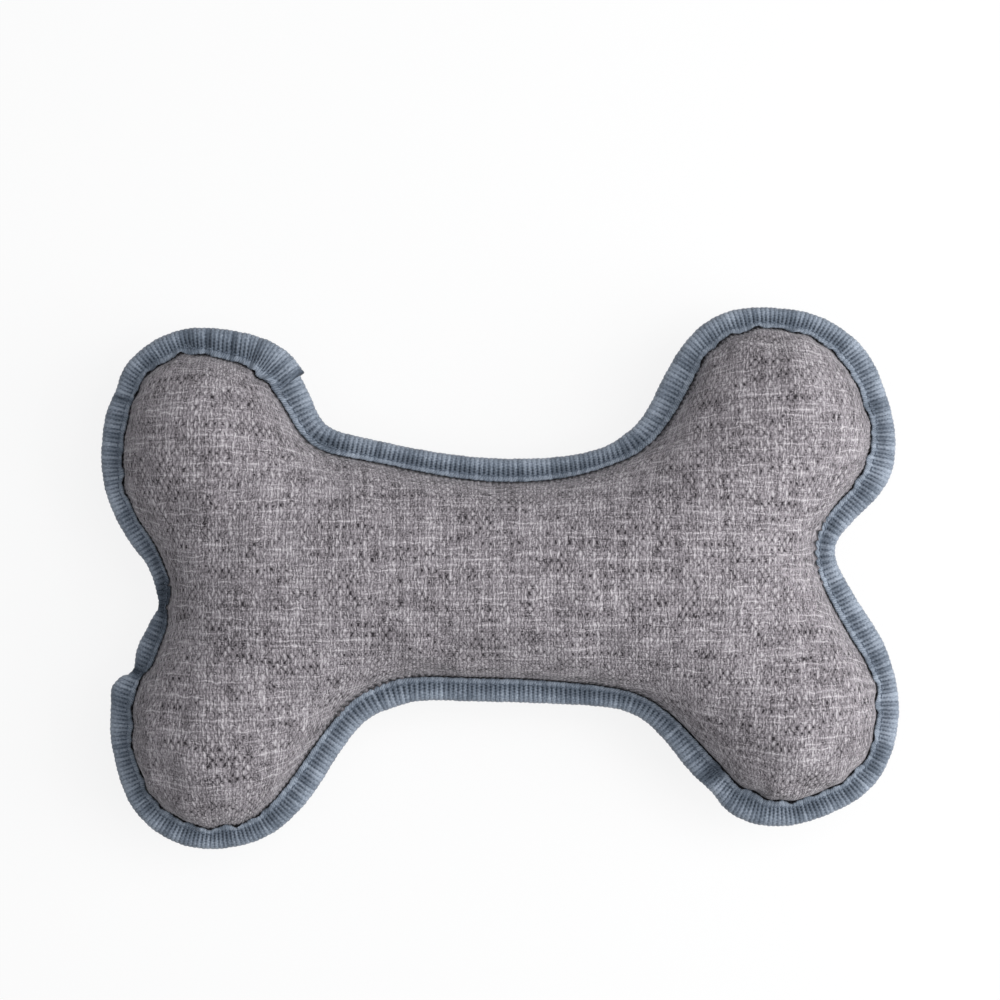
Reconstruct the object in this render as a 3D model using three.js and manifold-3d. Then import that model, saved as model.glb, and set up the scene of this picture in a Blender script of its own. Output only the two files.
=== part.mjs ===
// A stuffed cloth bone for a dog, with a squeaker inside, lying on its back.
// Millimetres, +Z up: X runs along the bone, Y across it, and Z = 0 is the flat that it rests on.

import * as THREE from "three";
import { mergeVertices } from "three/addons/utils/BufferGeometryUtils.js";
import Module from "manifold-3d";

const wasm = await Module();
wasm.setup();

// Squeaker: a hollow bulb with its whistle in the lower pole.
const BULB_RADIUS = 25;
const BULB_WALL = 1.2;
const WHISTLE_RADIUS = 5;
const WHISTLE_WALL = 1;
const FLANGE_LIP = 2.5; // reach of the whistle's flange past its barrel
const FLANGE = 1.2; // thickness of the flange
const BLOCK_LENGTH = 12; // the half-round block that the reed lies on
const MOUTH = 2; // length of barrel past the block
const GROOVE_WIDTH = 3;
const GROOVE_DEPTH = 1.8;
const GROOVE_END = 2; // solid end of the block past the groove
const REED = 0.3; // thickness of the reed
const REED_LAP = 1; // reach of the reed past each side of the groove
const REED_TIP = 0.5; // reach of the reed past the groove's end
const CLAMP_LENGTH = 4; // length of reed that the wedge holds

// Covers: two cut panels, crowned by the stuffing, with a flat seam allowance all round.
const CLOTH = 1; // thickness of the cover cloth
const PADDING = 3.4; // least stuffing between the bulb and the cover
const CROWN_KNOB = 25.5; // seam plane to the outside of the cover at the middle of a knob
const REST_CUT = 0.5; // depth of the flat that the toy rests on
const FORK_FROM_NOTCH = 45; // where the shaft divides towards its two knobs
const KNOB_WAD_FROM_FORK = 20; // where a knob's wad of stuffing meets the wads in the middle
const CLEARANCE = 0.3; // between pieces that touch
const FILL_CLEARANCE = 0.6; // between the stuffing and what it presses on

// Binding: one tape folded over the raw edges, its end lapped over its own start, and its seam.
const TAPE = 0.9; // thickness of the tape
const TAPE_SHOWN = 7.5; // width of the tape on each side
const FOLD_BEVEL = 1.1; // rounding of the tape's outer fold
const LAP = 14; // length of tape that lies double
const LAP_CLIMB = 7; // run in which the tape climbs over its own start
const LAP_FROM_WAIST = 11; // from the end of the waist's bend to the cut end of the lap
const STITCH_FROM_LIP = 1.7; // from the tape's inner edge to the seam
const THREAD_RADIUS = 0.4;
const THREAD_SIDES = 5;

// Fineness of the surfaces
const ARC_STEP = Math.PI / 10;
const RUN_STEP = 15;
const OUTER_LEVELS = [0, 0.04, 0.14, 0.32, 0.58, 0.86]; // shares of the way from seam to spine
const INNER_LEVELS = [0, 0.1, 0.36, 0.86];
const ROUND_STEPS = 24;
const FAR = 200; // reach of a cutting block

const TURN = 2 * Math.PI;
const CROWN_SHAFT = BULB_RADIUS + PADDING + FILL_CLEARANCE + CLOTH; // seam plane to the cover's outside
const SEAM_HEIGHT = CROWN_SHAFT - REST_CUT;
const ALLOWANCE_TOP = CLEARANCE / 2 + CLOTH; // seam plane to the outside of the seam allowance
const RAW_EDGE = TAPE + CLEARANCE; // distances inwards from the outline
const SEAM_LINE = TAPE_SHOWN + CLEARANCE;

// Outline of the bone, outside the tape: a belt round pegs, taken anticlockwise from above.
// Knob pegs stand inside the belt. Waist and notch pegs stand outside it and press it in.
const INSIDE = 1;
const OUTSIDE = -1;
const SHAFT_Y = -0.5; // the shaft's axis
const SHAFT_TOP = SHAFT_Y + CROWN_SHAFT + SEAM_LINE; // the shaft is as wide inside its seams as it is thick
const SHAFT_BOTTOM = SHAFT_Y - CROWN_SHAFT - SEAM_LINE;
const SHAFT_SLANT = 1.2; // drop of the lower edge towards its right end
const TOP_CORNER_RISE = 18.7; // from the shaft's upper edge to the pegs at its corners
const WAIST_RADIUS = 130.5;
const BOTTOM_LEFT_RADIUS = 26;
const BOTTOM_RIGHT_RADIUS = 23.5;
const WAIST_TOP = { x: 1, y: SHAFT_TOP + WAIST_RADIUS, radius: WAIST_RADIUS, side: OUTSIDE };
const WAIST_TOP_LEFT = { x: -47.5, y: SHAFT_TOP + TOP_CORNER_RISE, radius: 10.5, side: OUTSIDE };
const WAIST_TOP_RIGHT = { x: 31.5, y: SHAFT_TOP + TOP_CORNER_RISE, radius: 15, side: OUTSIDE };
const WAIST_BOTTOM_LEFT = {
  x: -24.5,
  y: SHAFT_BOTTOM - BOTTOM_LEFT_RADIUS,
  radius: BOTTOM_LEFT_RADIUS,
  side: OUTSIDE,
};
const WAIST_BOTTOM_RIGHT = {
  x: 32,
  y: SHAFT_BOTTOM - SHAFT_SLANT - BOTTOM_RIGHT_RADIUS,
  radius: BOTTOM_RIGHT_RADIUS,
  side: OUTSIDE,
};
const NOTCH_LEFT = { x: -120.5, y: -6.5, radius: 13.5, side: OUTSIDE };
const NOTCH_RIGHT = { x: 114.5, y: 8, radius: 9, side: OUTSIDE };
const UPPER_LEFT_INNER = { x: -82, y: 56.5, radius: 20.5, side: INSIDE };
const UPPER_LEFT_OUTER = { x: -92.5, y: 48, radius: 30.5, side: INSIDE };
const UPPER_LEFT_LOWER = { x: -90, y: 36.5, radius: 35, side: INSIDE };
const LOWER_LEFT_UPPER = { x: -87.5, y: -48.5, radius: 34.5, side: INSIDE };
const LOWER_LEFT_LOWER = { x: -88.5, y: -53.5, radius: 32, side: INSIDE };
const LOWER_RIGHT_LOWER = { x: 88.5, y: -46, radius: 31.5, side: INSIDE };
const LOWER_RIGHT_UPPER = { x: 90, y: -41, radius: 35.5, side: INSIDE };
const UPPER_RIGHT_OUTER = { x: 92, y: 44.5, radius: 32, side: INSIDE };
const UPPER_RIGHT_INNER = { x: 85.5, y: 49.5, radius: 36, side: INSIDE };
const KNOBS = {
  upper_left: [UPPER_LEFT_INNER, UPPER_LEFT_OUTER, UPPER_LEFT_LOWER],
  lower_left: [LOWER_LEFT_UPPER, LOWER_LEFT_LOWER],
  lower_right: [LOWER_RIGHT_LOWER, LOWER_RIGHT_UPPER],
  upper_right: [UPPER_RIGHT_OUTER, UPPER_RIGHT_INNER],
};

/** The heading of the straight run from each peg to the next, which touches both of them. */
function headingsBetween(pegs) {
  return pegs.map((peg, i) => {
    const next = pegs[(i + 1) % pegs.length];
    const lean = peg.side * peg.radius - next.side * next.radius;
    const apart = Math.hypot(next.x - peg.x, next.y - peg.y);
    const tilt = Math.asin(THREE.MathUtils.clamp(lean / apart, -1, 1));
    return Math.atan2(next.y - peg.y, next.x - peg.x) + tilt;
  });
}

/** How far the belt turns on each peg, anticlockwise. */
function turnsAt(headings) {
  return headings.map((heading, i) => {
    const swing = heading - headings.at(i - 1);
    return swing - TURN * Math.round(swing / TURN);
  });
}

/** The pegs that the belt presses on: it passes by one that it would have to turn back for. */
function pressedOn(pegs) {
  const turns = turnsAt(headingsBetween(pegs));
  const slack = pegs.find((peg, i) => peg.side * turns[i] < 0);
  return slack ? pressedOn(pegs.filter((peg) => peg !== slack)) : pegs;
}

/** The belt round the pegs: its length, its points and outward normals, and its stations. */
function beltRound(pegs) {
  const headings = headingsBetween(pegs);
  const turns = turnsAt(headings);
  const outward = (heading) => new THREE.Vector2(Math.sin(heading), -Math.cos(heading));
  const touch = (peg, heading) =>
    new THREE.Vector2(peg.x, peg.y).addScaledVector(outward(heading), peg.side * peg.radius);
  const runs = pegs.flatMap((peg, i) => {
    const arrival = headings.at(i - 1);
    const from = touch(peg, headings[i]);
    const to = touch(pegs[(i + 1) % pegs.length], headings[i]);
    return [
      {
        length: Math.abs(turns[i]) * peg.radius,
        steps: Math.ceil(Math.abs(turns[i]) * Math.max(1 / ARC_STEP, peg.radius / RUN_STEP)),
        at: (share) => ({
          point: touch(peg, arrival + share * turns[i]),
          normal: outward(arrival + share * turns[i]),
        }),
      },
      {
        length: from.distanceTo(to),
        steps: Math.ceil(from.distanceTo(to) / RUN_STEP),
        at: (share) => ({
          point: from.clone().lerp(to, share),
          normal: outward(headings[i]),
        }),
      },
    ];
  });
  let length = 0;
  const stations = [];
  for (const run of runs) {
    run.start = length;
    for (let step = 0; step < run.steps; step++) {
      stations.push(run.start + (run.length * step) / run.steps);
    }
    length += run.length;
  }
  const at = (place) => {
    const wrapped = THREE.MathUtils.euclideanModulo(place, length);
    const run = runs.findLast((candidate) => candidate.start <= wrapped && candidate.length > 0);
    return run.at((wrapped - run.start) / run.length);
  };
  const endOfArc = (peg) => runs[2 * pegs.indexOf(peg) + 1].start;
  return { length, stations, at, endOfArc };
}

const pegs = pressedOn([
  WAIST_TOP_RIGHT,
  WAIST_TOP,
  WAIST_TOP_LEFT,
  ...KNOBS.upper_left,
  NOTCH_LEFT,
  ...KNOBS.lower_left,
  WAIST_BOTTOM_LEFT,
  WAIST_BOTTOM_RIGHT,
  ...KNOBS.lower_right,
  NOTCH_RIGHT,
  ...KNOBS.upper_right,
]);
const belt = beltRound(pegs);

/** The point a given distance inwards from the outline. */
function inwards(place, distance) {
  const { point, normal } = belt.at(place);
  return point.addScaledVector(normal, -distance);
}

// Spine: the shaft, and from each fork a branch to the middle of each knob.
const forkLeft = new THREE.Vector2(NOTCH_LEFT.x + NOTCH_LEFT.radius + FORK_FROM_NOTCH, SHAFT_Y);
const forkRight = new THREE.Vector2(NOTCH_RIGHT.x - NOTCH_RIGHT.radius - FORK_FROM_NOTCH, SHAFT_Y);
const shaft = { from: forkLeft, to: forkRight, crownTo: CROWN_SHAFT };
const branches = Object.entries(KNOBS).map(([knob, round]) => {
  const middle = new THREE.Vector2();
  round.forEach((peg) => middle.add(new THREE.Vector2(peg.x, peg.y).divideScalar(round.length)));
  return { knob, from: middle.x < 0 ? forkLeft : forkRight, to: middle, crownTo: CROWN_KNOB };
});

/** The point of the spine nearest to the seam at a place on the outline, and the crown there. */
function footOnSpine(place) {
  const seam = inwards(place, SEAM_LINE);
  const feet = [shaft, ...branches].map((branch) => {
    const along = branch.to.clone().sub(branch.from);
    const reach = seam.clone().sub(branch.from).dot(along) / along.lengthSq();
    const share = THREE.MathUtils.clamp(reach, 0, 1);
    const foot = branch.from.clone().addScaledVector(along, share);
    return { branch, foot, share, away: foot.distanceTo(seam) };
  });
  const nearest = feet.reduce((best, one) => (one.away < best.away ? one : best));
  const crown = THREE.MathUtils.lerp(CROWN_SHAFT, nearest.branch.crownTo, nearest.share);
  return { place, branch: nearest.branch, foot: nearest.foot, crown };
}

/** One walk round the outline, each step with its foot on the spine, passing through every fork. */
function walkRound() {
  const feet = belt.stations.map(footOnSpine);
  return feet.flatMap((here, i) => {
    const next = feet[(i + 1) % feet.length];
    if (next.branch === here.branch) {
      return [here];
    }
    const nextPlace = i + 1 < feet.length ? next.place : belt.length;
    const fork = here.foot.x < 0 ? forkLeft : forkRight;
    return [here, { place: (here.place + nextPlace) / 2, foot: fork, crown: CROWN_SHAFT }];
  });
}
const walk = walkRound();

/** Height of a stuffed cover's section, 0 at the seam and 1 over the spine: a quarter ellipse. */
const swell = (share) => Math.sqrt(1 - (1 - share) ** 2);

/** A closed ring of a cover at one share of the way from its seam to the spine. */
function coverRing(inset, base, top, share, limit = Infinity) {
  return walk.map(({ place, foot, crown }) => {
    const flat = inwards(place, inset).lerp(foot, share);
    const rise = base + (crown + top - base) * swell(share);
    return new THREE.Vector3(flat.x, flat.y, Math.min(rise, limit));
  });
}

/** A closed solid lofted through rings that lie anticlockwise, with its two ends filled in. */
function loft(rings) {
  const count = rings[0].length;
  const points = rings.flat();
  const faces = [];
  for (let r = 0; r + 1 < rings.length; r++) {
    for (let k = 0; k < count; k++) {
      const a = r * count + k;
      const b = r * count + ((k + 1) % count);
      const c = b + count;
      const d = a + count;
      const shortest = points[a].distanceTo(points[c]) < points[b].distanceTo(points[d]);
      faces.push(...(shortest ? [a, b, c, a, c, d] : [a, b, d, b, c, d]));
    }
  }
  const seenFromAbove = (ring) => ring.map((v) => new THREE.Vector2(v.x, v.y));
  const fill = (ring) => THREE.ShapeUtils.triangulateShape(seenFromAbove(ring), []);
  const lastRing = (rings.length - 1) * count;
  fill(rings[0]).forEach(([a, b, c]) => faces.push(a, c, b));
  fill(rings.at(-1)).forEach(([a, b, c]) => faces.push(lastRing + a, lastRing + b, lastRing + c));
  return new THREE.BufferGeometry().setFromPoints(points).setIndex(faces);
}

/** Rings measured from the seam plane, turned over for the back, placed at the seam's height. */
function placed(rings, facing) {
  const lifted = rings.map((ring) =>
    ring.map((v) => new THREE.Vector3(v.x, v.y, SEAM_HEIGHT + facing * v.z)),
  );
  return facing > 0 ? lifted : lifted.reverse();
}

/** A cover: the inside of its dome, its seam allowance, and the outside of its dome. */
function coverGeometry(facing) {
  const limit = facing > 0 ? Infinity : CROWN_SHAFT - REST_CUT;
  const under = CLEARANCE / 2;
  const inside = INNER_LEVELS.map((share) =>
    coverRing(SEAM_LINE + CLOTH, under, -CLOTH, share, limit - CLOTH),
  );
  const allowance = [
    coverRing(RAW_EDGE, under, 0, 0),
    coverRing(RAW_EDGE, ALLOWANCE_TOP, 0, 0),
  ];
  const outside = OUTER_LEVELS.map((share) =>
    coverRing(SEAM_LINE, ALLOWANCE_TOP, 0, share, limit),
  );
  return loft(placed([...inside.reverse(), ...allowance, ...outside], facing));
}

/** All the stuffing as one body, clear of the covers by the fill clearance. */
function stuffingGeometry() {
  const inset = SEAM_LINE + CLOTH + FILL_CLEARANCE;
  const shrink = -CLOTH - FILL_CLEARANCE;
  const limit = CROWN_SHAFT - REST_CUT + shrink;
  const half = (most) =>
    INNER_LEVELS.slice(1).map((share) => coverRing(inset, 0, shrink, share, most));
  const rim = coverRing(inset, 0, 0, 0);
  return loft([
    ...placed(half(limit), -1),
    ...placed([rim], 1),
    ...placed(half(Infinity), 1),
  ]);
}

/** A strip swept round from the lap's end, its section at each run given as [inset, height]. */
function sweepGeometry(runs, sectionAt, closed) {
  const rows = runs.map((run) =>
    sectionAt(run).map(([inset, height]) => {
      const flat = inwards(lapEnd + run, inset);
      return new THREE.Vector3(flat.x, flat.y, SEAM_HEIGHT + height);
    }),
  );
  const sides = rows[0].length;
  const faces = [];
  const bands = closed ? rows.length : rows.length - 1;
  for (let r = 0; r < bands; r++) {
    const here = r * sides;
    const next = ((r + 1) % rows.length) * sides;
    for (let k = 0; k < sides; k++) {
      const m = (k + 1) % sides;
      faces.push(here + k, here + m, next + m, here + k, next + m, next + k);
    }
  }
  if (!closed) {
    const outline = sectionAt(runs[0]).map(([inset, height]) => new THREE.Vector2(inset, height));
    const end = (rows.length - 1) * sides;
    for (const [a, b, c] of THREE.ShapeUtils.triangulateShape(outline, [])) {
      faces.push(a, c, b);
      faces.push(end + a, end + b, end + c);
    }
  }
  return new THREE.BufferGeometry().setFromPoints(rows.flat()).setIndex(faces);
}

/** The tape's folded section, lifted off the edge where it laps over its own start. */
function tapeSection(lift) {
  const inner = ALLOWANCE_TOP + CLEARANCE + lift;
  const outer = inner + TAPE;
  const fold = -lift;
  const half = [
    [TAPE_SHOWN, inner],
    [TAPE_SHOWN, outer],
    [fold + FOLD_BEVEL, outer],
    [fold, outer - FOLD_BEVEL],
  ];
  const mirrored = half.map(([inset, height]) => [inset, -height]).reverse();
  return [...half, ...mirrored, [fold + TAPE, -inner], [fold + TAPE, inner]];
}

// The tape's runs, counted anticlockwise from the cut end of its lap.
const lapEnd = belt.endOfArc(WAIST_TOP_LEFT) + LAP_FROM_WAIST;
const lapMarks = [0, LAP, LAP + LAP_CLIMB, belt.length - LAP_CLIMB, belt.length];
const tapeRuns = belt.stations
  .map((place) => THREE.MathUtils.euclideanModulo(place - lapEnd, belt.length))
  .filter((run) => lapMarks.every((mark) => Math.abs(run - mark) > CLEARANCE))
  .concat(lapMarks.slice(0, -1))
  .sort((a, b) => a - b);
const lapLift = TAPE + CLEARANCE;

/** How far the tape is lifted off the edge: whole on the lap, then down to none. */
function tapeLift(run) {
  return lapLift * (1 - THREE.MathUtils.smoothstep(run, LAP, LAP + LAP_CLIMB));
}

/** The tape: from its lapped end down to the edge, once round, and in under its own lap. */
function tapeGeometry() {
  const under = tapeRuns.filter((run) => run <= LAP).map((run) => run + belt.length);
  return sweepGeometry([...tapeRuns, ...under], (run) => tapeSection(tapeLift(run)), false);
}

/** A thread along the seam, on the front or the back of the tape, climbing over the lap. */
function threadGeometry(facing) {
  const onTape = ALLOWANCE_TOP + 2 * CLEARANCE + TAPE + THREAD_RADIUS;
  const inset = TAPE_SHOWN - STITCH_FROM_LIP;
  const section = (run) => {
    const upToEnd = lapLift * THREE.MathUtils.smoothstep(run, belt.length - LAP_CLIMB, belt.length);
    const height = facing * (onTape + Math.max(tapeLift(run), upToEnd));
    return Array.from({ length: THREAD_SIDES }, (_, k) => {
      const angle = (TURN * k) / THREAD_SIDES;
      return [inset + THREAD_RADIUS * Math.cos(angle), height + THREAD_RADIUS * Math.sin(angle)];
    });
  };
  return sweepGeometry(tapeRuns, section, true);
}

/** A solid turned about Z from a profile of [radius, height] taken anticlockwise. */
function turned(profile) {
  const points = profile.map(([radius, height]) => new THREE.Vector2(radius, height));
  return new THREE.LatheGeometry(points, ROUND_STEPS).rotateX(Math.PI / 2);
}

/** Points down or up a sphere's side, between two angles from its upper pole. */
function sphereSide(radius, from, to) {
  return Array.from({ length: ROUND_STEPS / 2 + 1 }, (_, k) => {
    const angle = THREE.MathUtils.lerp(from, to, (2 * k) / ROUND_STEPS);
    return [radius * Math.sin(angle), radius * Math.cos(angle)];
  });
}

// The bulb is flattened at its lower pole for the whistle's flange.
const flangeRadius = WHISTLE_RADIUS + FLANGE_LIP;
const neckHeight = -Math.sqrt(BULB_RADIUS ** 2 - flangeRadius ** 2);
const flangeBottom = neckHeight - CLEARANCE - FLANGE;

/** The bulb: a hollow ball about its own centre, with a hole for the whistle. */
function bulbGeometry() {
  const inside = BULB_RADIUS - BULB_WALL;
  const hole = WHISTLE_RADIUS + CLEARANCE;
  const neckInside = neckHeight + BULB_WALL;
  return turned([
    ...sphereSide(inside, 0, Math.acos(neckInside / inside)),
    [hole, neckInside],
    [hole, neckHeight],
    ...sphereSide(BULB_RADIUS, Math.PI - Math.asin(flangeRadius / BULB_RADIUS), 0),
  ]);
}

/** The whistle's barrel and flange, standing on its flange. */
function whistleGeometry() {
  const bore = WHISTLE_RADIUS - WHISTLE_WALL;
  const length = BLOCK_LENGTH + MOUTH;
  return turned([
    [bore, 0],
    [flangeRadius, 0],
    [flangeRadius, FLANGE],
    [WHISTLE_RADIUS, FLANGE],
    [WHISTLE_RADIUS, length],
    [bore, length],
    [bore, 0],
  ]);
}

/** A half-round rod in the whistle's bore, its flat just clear of the reed on the -Y side. */
function halfRound(length) {
  const radius = WHISTLE_RADIUS - WHISTLE_WALL - CLEARANCE;
  const slant = Math.asin((REED / 2 + CLEARANCE) / radius);
  const shape = new THREE.Shape();
  shape.absarc(0, 0, radius, Math.PI + slant, TURN - slant, false);
  return new THREE.ExtrudeGeometry(shape, {
    depth: length,
    bevelEnabled: false,
    curveSegments: ROUND_STEPS / 2,
  });
}

/** A closed geometry as a solid that can be cut. */
function solidOf(geometry) {
  const bare = geometry.clone();
  bare.deleteAttribute("normal");
  bare.deleteAttribute("uv");
  const merged = mergeVertices(bare);
  return new wasm.Manifold(
    new wasm.Mesh({
      numProp: 3,
      vertProperties: new Float32Array(merged.attributes.position.array),
      triVerts: new Uint32Array(merged.index.array),
    }),
  );
}

/** A cut solid as a geometry. */
function geometryOf(solid) {
  const mesh = solid.getMesh();
  const geometry = new THREE.BufferGeometry();
  geometry.setAttribute("position", new THREE.BufferAttribute(mesh.vertProperties, 3));
  return geometry.setIndex(new THREE.BufferAttribute(mesh.triVerts, 1));
}

/** The reed block: a half-round rod with an air groove in its flat, open at the outlet. */
function reedBlockGeometry() {
  const length = BLOCK_LENGTH - GROOVE_END;
  const flat = -REED / 2 - CLEARANCE;
  const groove = new THREE.BoxGeometry(GROOVE_WIDTH, 2 * GROOVE_DEPTH, 2 * length);
  return geometryOf(solidOf(halfRound(BLOCK_LENGTH)).subtract(solidOf(groove.translate(0, flat, 0))));
}

/** The reed: a film over the groove, from the outlet to just past the groove's end. */
function reedGeometry() {
  const length = BLOCK_LENGTH - GROOVE_END + REED_TIP;
  return new THREE.BoxGeometry(GROOVE_WIDTH + 2 * REED_LAP, REED, length).translate(0, 0, length / 2);
}

/** The block of space past a plane across a branch, a given way from its fork. */
function pastBranch(branch, distance) {
  const along = branch.to.clone().sub(branch.from);
  const middle = branch.from.clone().addScaledVector(along.normalize(), distance + FAR / 2);
  const block = new THREE.BoxGeometry(FAR, FAR, FAR).rotateZ(along.angle());
  return solidOf(block.translate(middle.x, middle.y, SEAM_HEIGHT));
}

const squeakerAt = new THREE.Vector3((forkLeft.x + forkRight.x) / 2, SHAFT_Y, SEAM_HEIGHT);

/** The wads: each knob's is cut from the stuffing in turn, and the middle's two hold the bulb. */
function wads() {
  let rest = solidOf(stuffingGeometry());
  const made = branches.map((branch) => {
    const wad = rest.intersect(pastBranch(branch, KNOB_WAD_FROM_FORK));
    rest = rest.subtract(pastBranch(branch, KNOB_WAD_FROM_FORK - FILL_CLEARANCE));
    return [`fill_knob_${branch.knob}`, geometryOf(wad)];
  });
  const hollow = new THREE.SphereGeometry(BULB_RADIUS + FILL_CLEARANCE, ROUND_STEPS, ROUND_STEPS / 2);
  const recess = turned([
    [0, flangeBottom - FILL_CLEARANCE],
    [flangeRadius + FILL_CLEARANCE, flangeBottom - FILL_CLEARANCE],
    [flangeRadius + FILL_CLEARANCE, 0],
    [0, 0],
  ]);
  for (const space of [hollow.rotateX(Math.PI / 2), recess]) {
    rest = rest.subtract(solidOf(space.translate(squeakerAt.x, squeakerAt.y, squeakerAt.z)));
  }
  for (const [name, facing] of [["front", 1], ["back", -1]]) {
    const half = new THREE.BoxGeometry(2 * FAR, 2 * FAR, FAR);
    half.translate(0, 0, SEAM_HEIGHT + (facing * (FAR + FILL_CLEARANCE)) / 2);
    made.push([`fill_middle_${name}`, geometryOf(rest.intersect(solidOf(half)))]);
  }
  return made;
}

const finish = (color, roughness) => new THREE.MeshStandardMaterial({ color, roughness, metalness: 0 });
const cloth = finish("#8c878c", 0.9);
const ribbedTape = finish("#6b7481", 0.75);
const thread = finish("#8e979f", 0.7);
const fibre = finish("#efece4", 1);
const softPlastic = finish("#d9dadb", 0.35);
const stiffPlastic = finish("#e8e8e4", 0.3);
const film = finish("#c9d2d6", 0.25);

function piece(name, geometry, material) {
  const mesh = new THREE.Mesh(geometry, material);
  mesh.name = name;
  return mesh;
}

const whistle = new THREE.Group();
whistle.position.z = flangeBottom;
whistle.add(
  piece("whistle_tube", whistleGeometry(), stiffPlastic),
  piece("reed_block", reedBlockGeometry(), stiffPlastic),
  piece("reed_wedge", halfRound(CLAMP_LENGTH).rotateZ(Math.PI), stiffPlastic),
  piece("reed", reedGeometry(), film),
);

const squeaker = new THREE.Group();
squeaker.position.copy(squeakerAt);
squeaker.add(piece("squeaker_bulb", bulbGeometry(), softPlastic), whistle);

const bone = new THREE.Group();
bone.add(
  piece("front_panel", coverGeometry(1), cloth),
  piece("back_panel", coverGeometry(-1), cloth),
  piece("binding_tape", tapeGeometry(), ribbedTape),
  piece("needle_thread", threadGeometry(1), thread),
  piece("bobbin_thread", threadGeometry(-1), thread),
  ...wads().map(([name, geometry]) => piece(name, geometry, fibre)),
  squeaker,
);

// The origin lies under the middle of the bone.
const middle = new THREE.Box3().setFromObject(bone).getCenter(new THREE.Vector3());
bone.position.set(-middle.x, -middle.y, 0);

const part = new THREE.Group();
part.add(bone);

export default part;
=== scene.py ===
"""A stuffed cloth bone for a dog: woven covers, ribbed binding tape, its seam, stuffing and squeaker.

Metres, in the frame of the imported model: X runs along the bone, Y across it, and Z = 0 lies under its back.
"""

import math

import bmesh
import bpy
import numpy as np
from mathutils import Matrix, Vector
from mathutils.geometry import delaunay_2d_cdt


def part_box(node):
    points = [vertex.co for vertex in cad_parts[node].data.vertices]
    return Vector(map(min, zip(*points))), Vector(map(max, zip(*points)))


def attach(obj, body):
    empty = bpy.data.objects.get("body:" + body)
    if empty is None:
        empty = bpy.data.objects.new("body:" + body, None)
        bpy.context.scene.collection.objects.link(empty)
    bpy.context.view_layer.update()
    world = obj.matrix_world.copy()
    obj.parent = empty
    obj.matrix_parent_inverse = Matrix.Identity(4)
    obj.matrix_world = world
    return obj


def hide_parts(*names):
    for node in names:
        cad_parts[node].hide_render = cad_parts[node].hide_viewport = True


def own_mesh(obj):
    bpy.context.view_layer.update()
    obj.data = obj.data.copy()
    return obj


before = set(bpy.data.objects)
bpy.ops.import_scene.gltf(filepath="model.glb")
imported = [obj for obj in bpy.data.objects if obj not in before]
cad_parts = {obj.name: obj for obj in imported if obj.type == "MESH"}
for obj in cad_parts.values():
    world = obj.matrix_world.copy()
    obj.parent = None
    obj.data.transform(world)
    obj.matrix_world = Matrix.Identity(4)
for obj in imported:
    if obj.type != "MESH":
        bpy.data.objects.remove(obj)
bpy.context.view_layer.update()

mm = 0.001
TURN = 2 * math.pi
FRONT = 1
BACK = -1

# Picture: its scale in the plane of the seam, and the pixel that lies over the middle of the bone
PICTURE_SIDE = 1000
PIXEL = 0.3133 * mm
MIDDLE_PIXEL = (499, 578)
LENS = 85.0
SENSOR = 36.0

# Edge: stations round the outline, and how the sewn edge strays from the plain outline
STATIONS = 4000
THINNED = 8  # one station in so many carries the second, smoother spline
FOLD_MARGIN = 0.02 * mm
LAP_MARGIN = 0.05 * mm
BEND_REACH = 3.0 * mm
TAPE_SHOWN = 7.4 * mm
EDGE_WAVES = (  # x, y, reach along the edge, how far it lies outside the plain outline, all in millimetres
    (-106.8, -8.8, 1.8, -0.9),
    (-111.5, -19.0, 4.0, 0.3),
    (-116.0, -28.0, 2.8, -1.8),
    (-119.5, -35.0, 3.0, 1.6),
    (-121.0, 59.3, 3.5, -1.1),
    (-125.0, 30.0, 9.0, -0.8),
    (-111.0, 4.0, 4.0, -0.8),
    (-122.0, -55.0, 9.0, -0.8),
    (-84.0, -85.0, 9.0, -0.7),
    (-58.5, -67.0, 8.0, 0.8),
    (-33.0, -39.6, 5.0, 0.9),
    (37.0, -40.5, 12.0, 0.9),
    (65.4, -67.6, 4.5, -1.3),
    (78.0, -76.0, 8.0, 0.6),
    (117.0, -63.5, 9.0, 1.0),
    (118.5, -19.0, 7.5, 1.3),
    (121.0, 32.0, 8.0, 1.3),
    (116.0, 68.0, 8.0, 0.8),
    (88.0, 85.4, 8.0, -0.9),
    (67.0, 81.0, 8.0, 0.8),
    (40.3, 44.0, 5.0, 1.4),
    (22.0, 39.0, 8.0, -0.7),
    (-18.0, 38.7, 12.0, 0.5),
    (-60.0, 58.0, 10.0, 0.6),
    (-70.5, 73.3, 4.0, -1.0),
)
SEAM_WAVES = (  # x, y, reach along the edge, how much deeper the tape reaches, all in millimetres
    (-107.5, -5.0, 9.0, -2.4),
    (-106.8, -8.8, 2.2, -1.4),
    (-111.5, -19.0, 4.5, -0.8),
    (-115.5, -28.5, 2.6, -1.5),
    (-119.0, -34.5, 4.0, -1.6),
    (-119.0, 17.0, 7.0, -1.0),
    (38.0, -41.0, 13.0, -2.0),
    (63.0, -65.0, 10.0, 1.0),
    (76.0, -75.0, 8.0, 0.8),
    (118.0, -60.0, 9.0, -1.1),
    (121.5, -26.0, 8.0, -1.0),
    (105.3, 7.4, 5.0, -0.9),
    (70.0, 82.0, 8.0, -0.8),
    (51.0, 62.0, 7.0, 1.0),
    (37.5, 42.5, 7.0, -1.8),
    (-26.0, 40.0, 16.0, -1.1),
    (-70.0, 73.0, 11.0, 3.3),
    (-90.0, 78.0, 8.0, 0.8),
)

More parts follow.
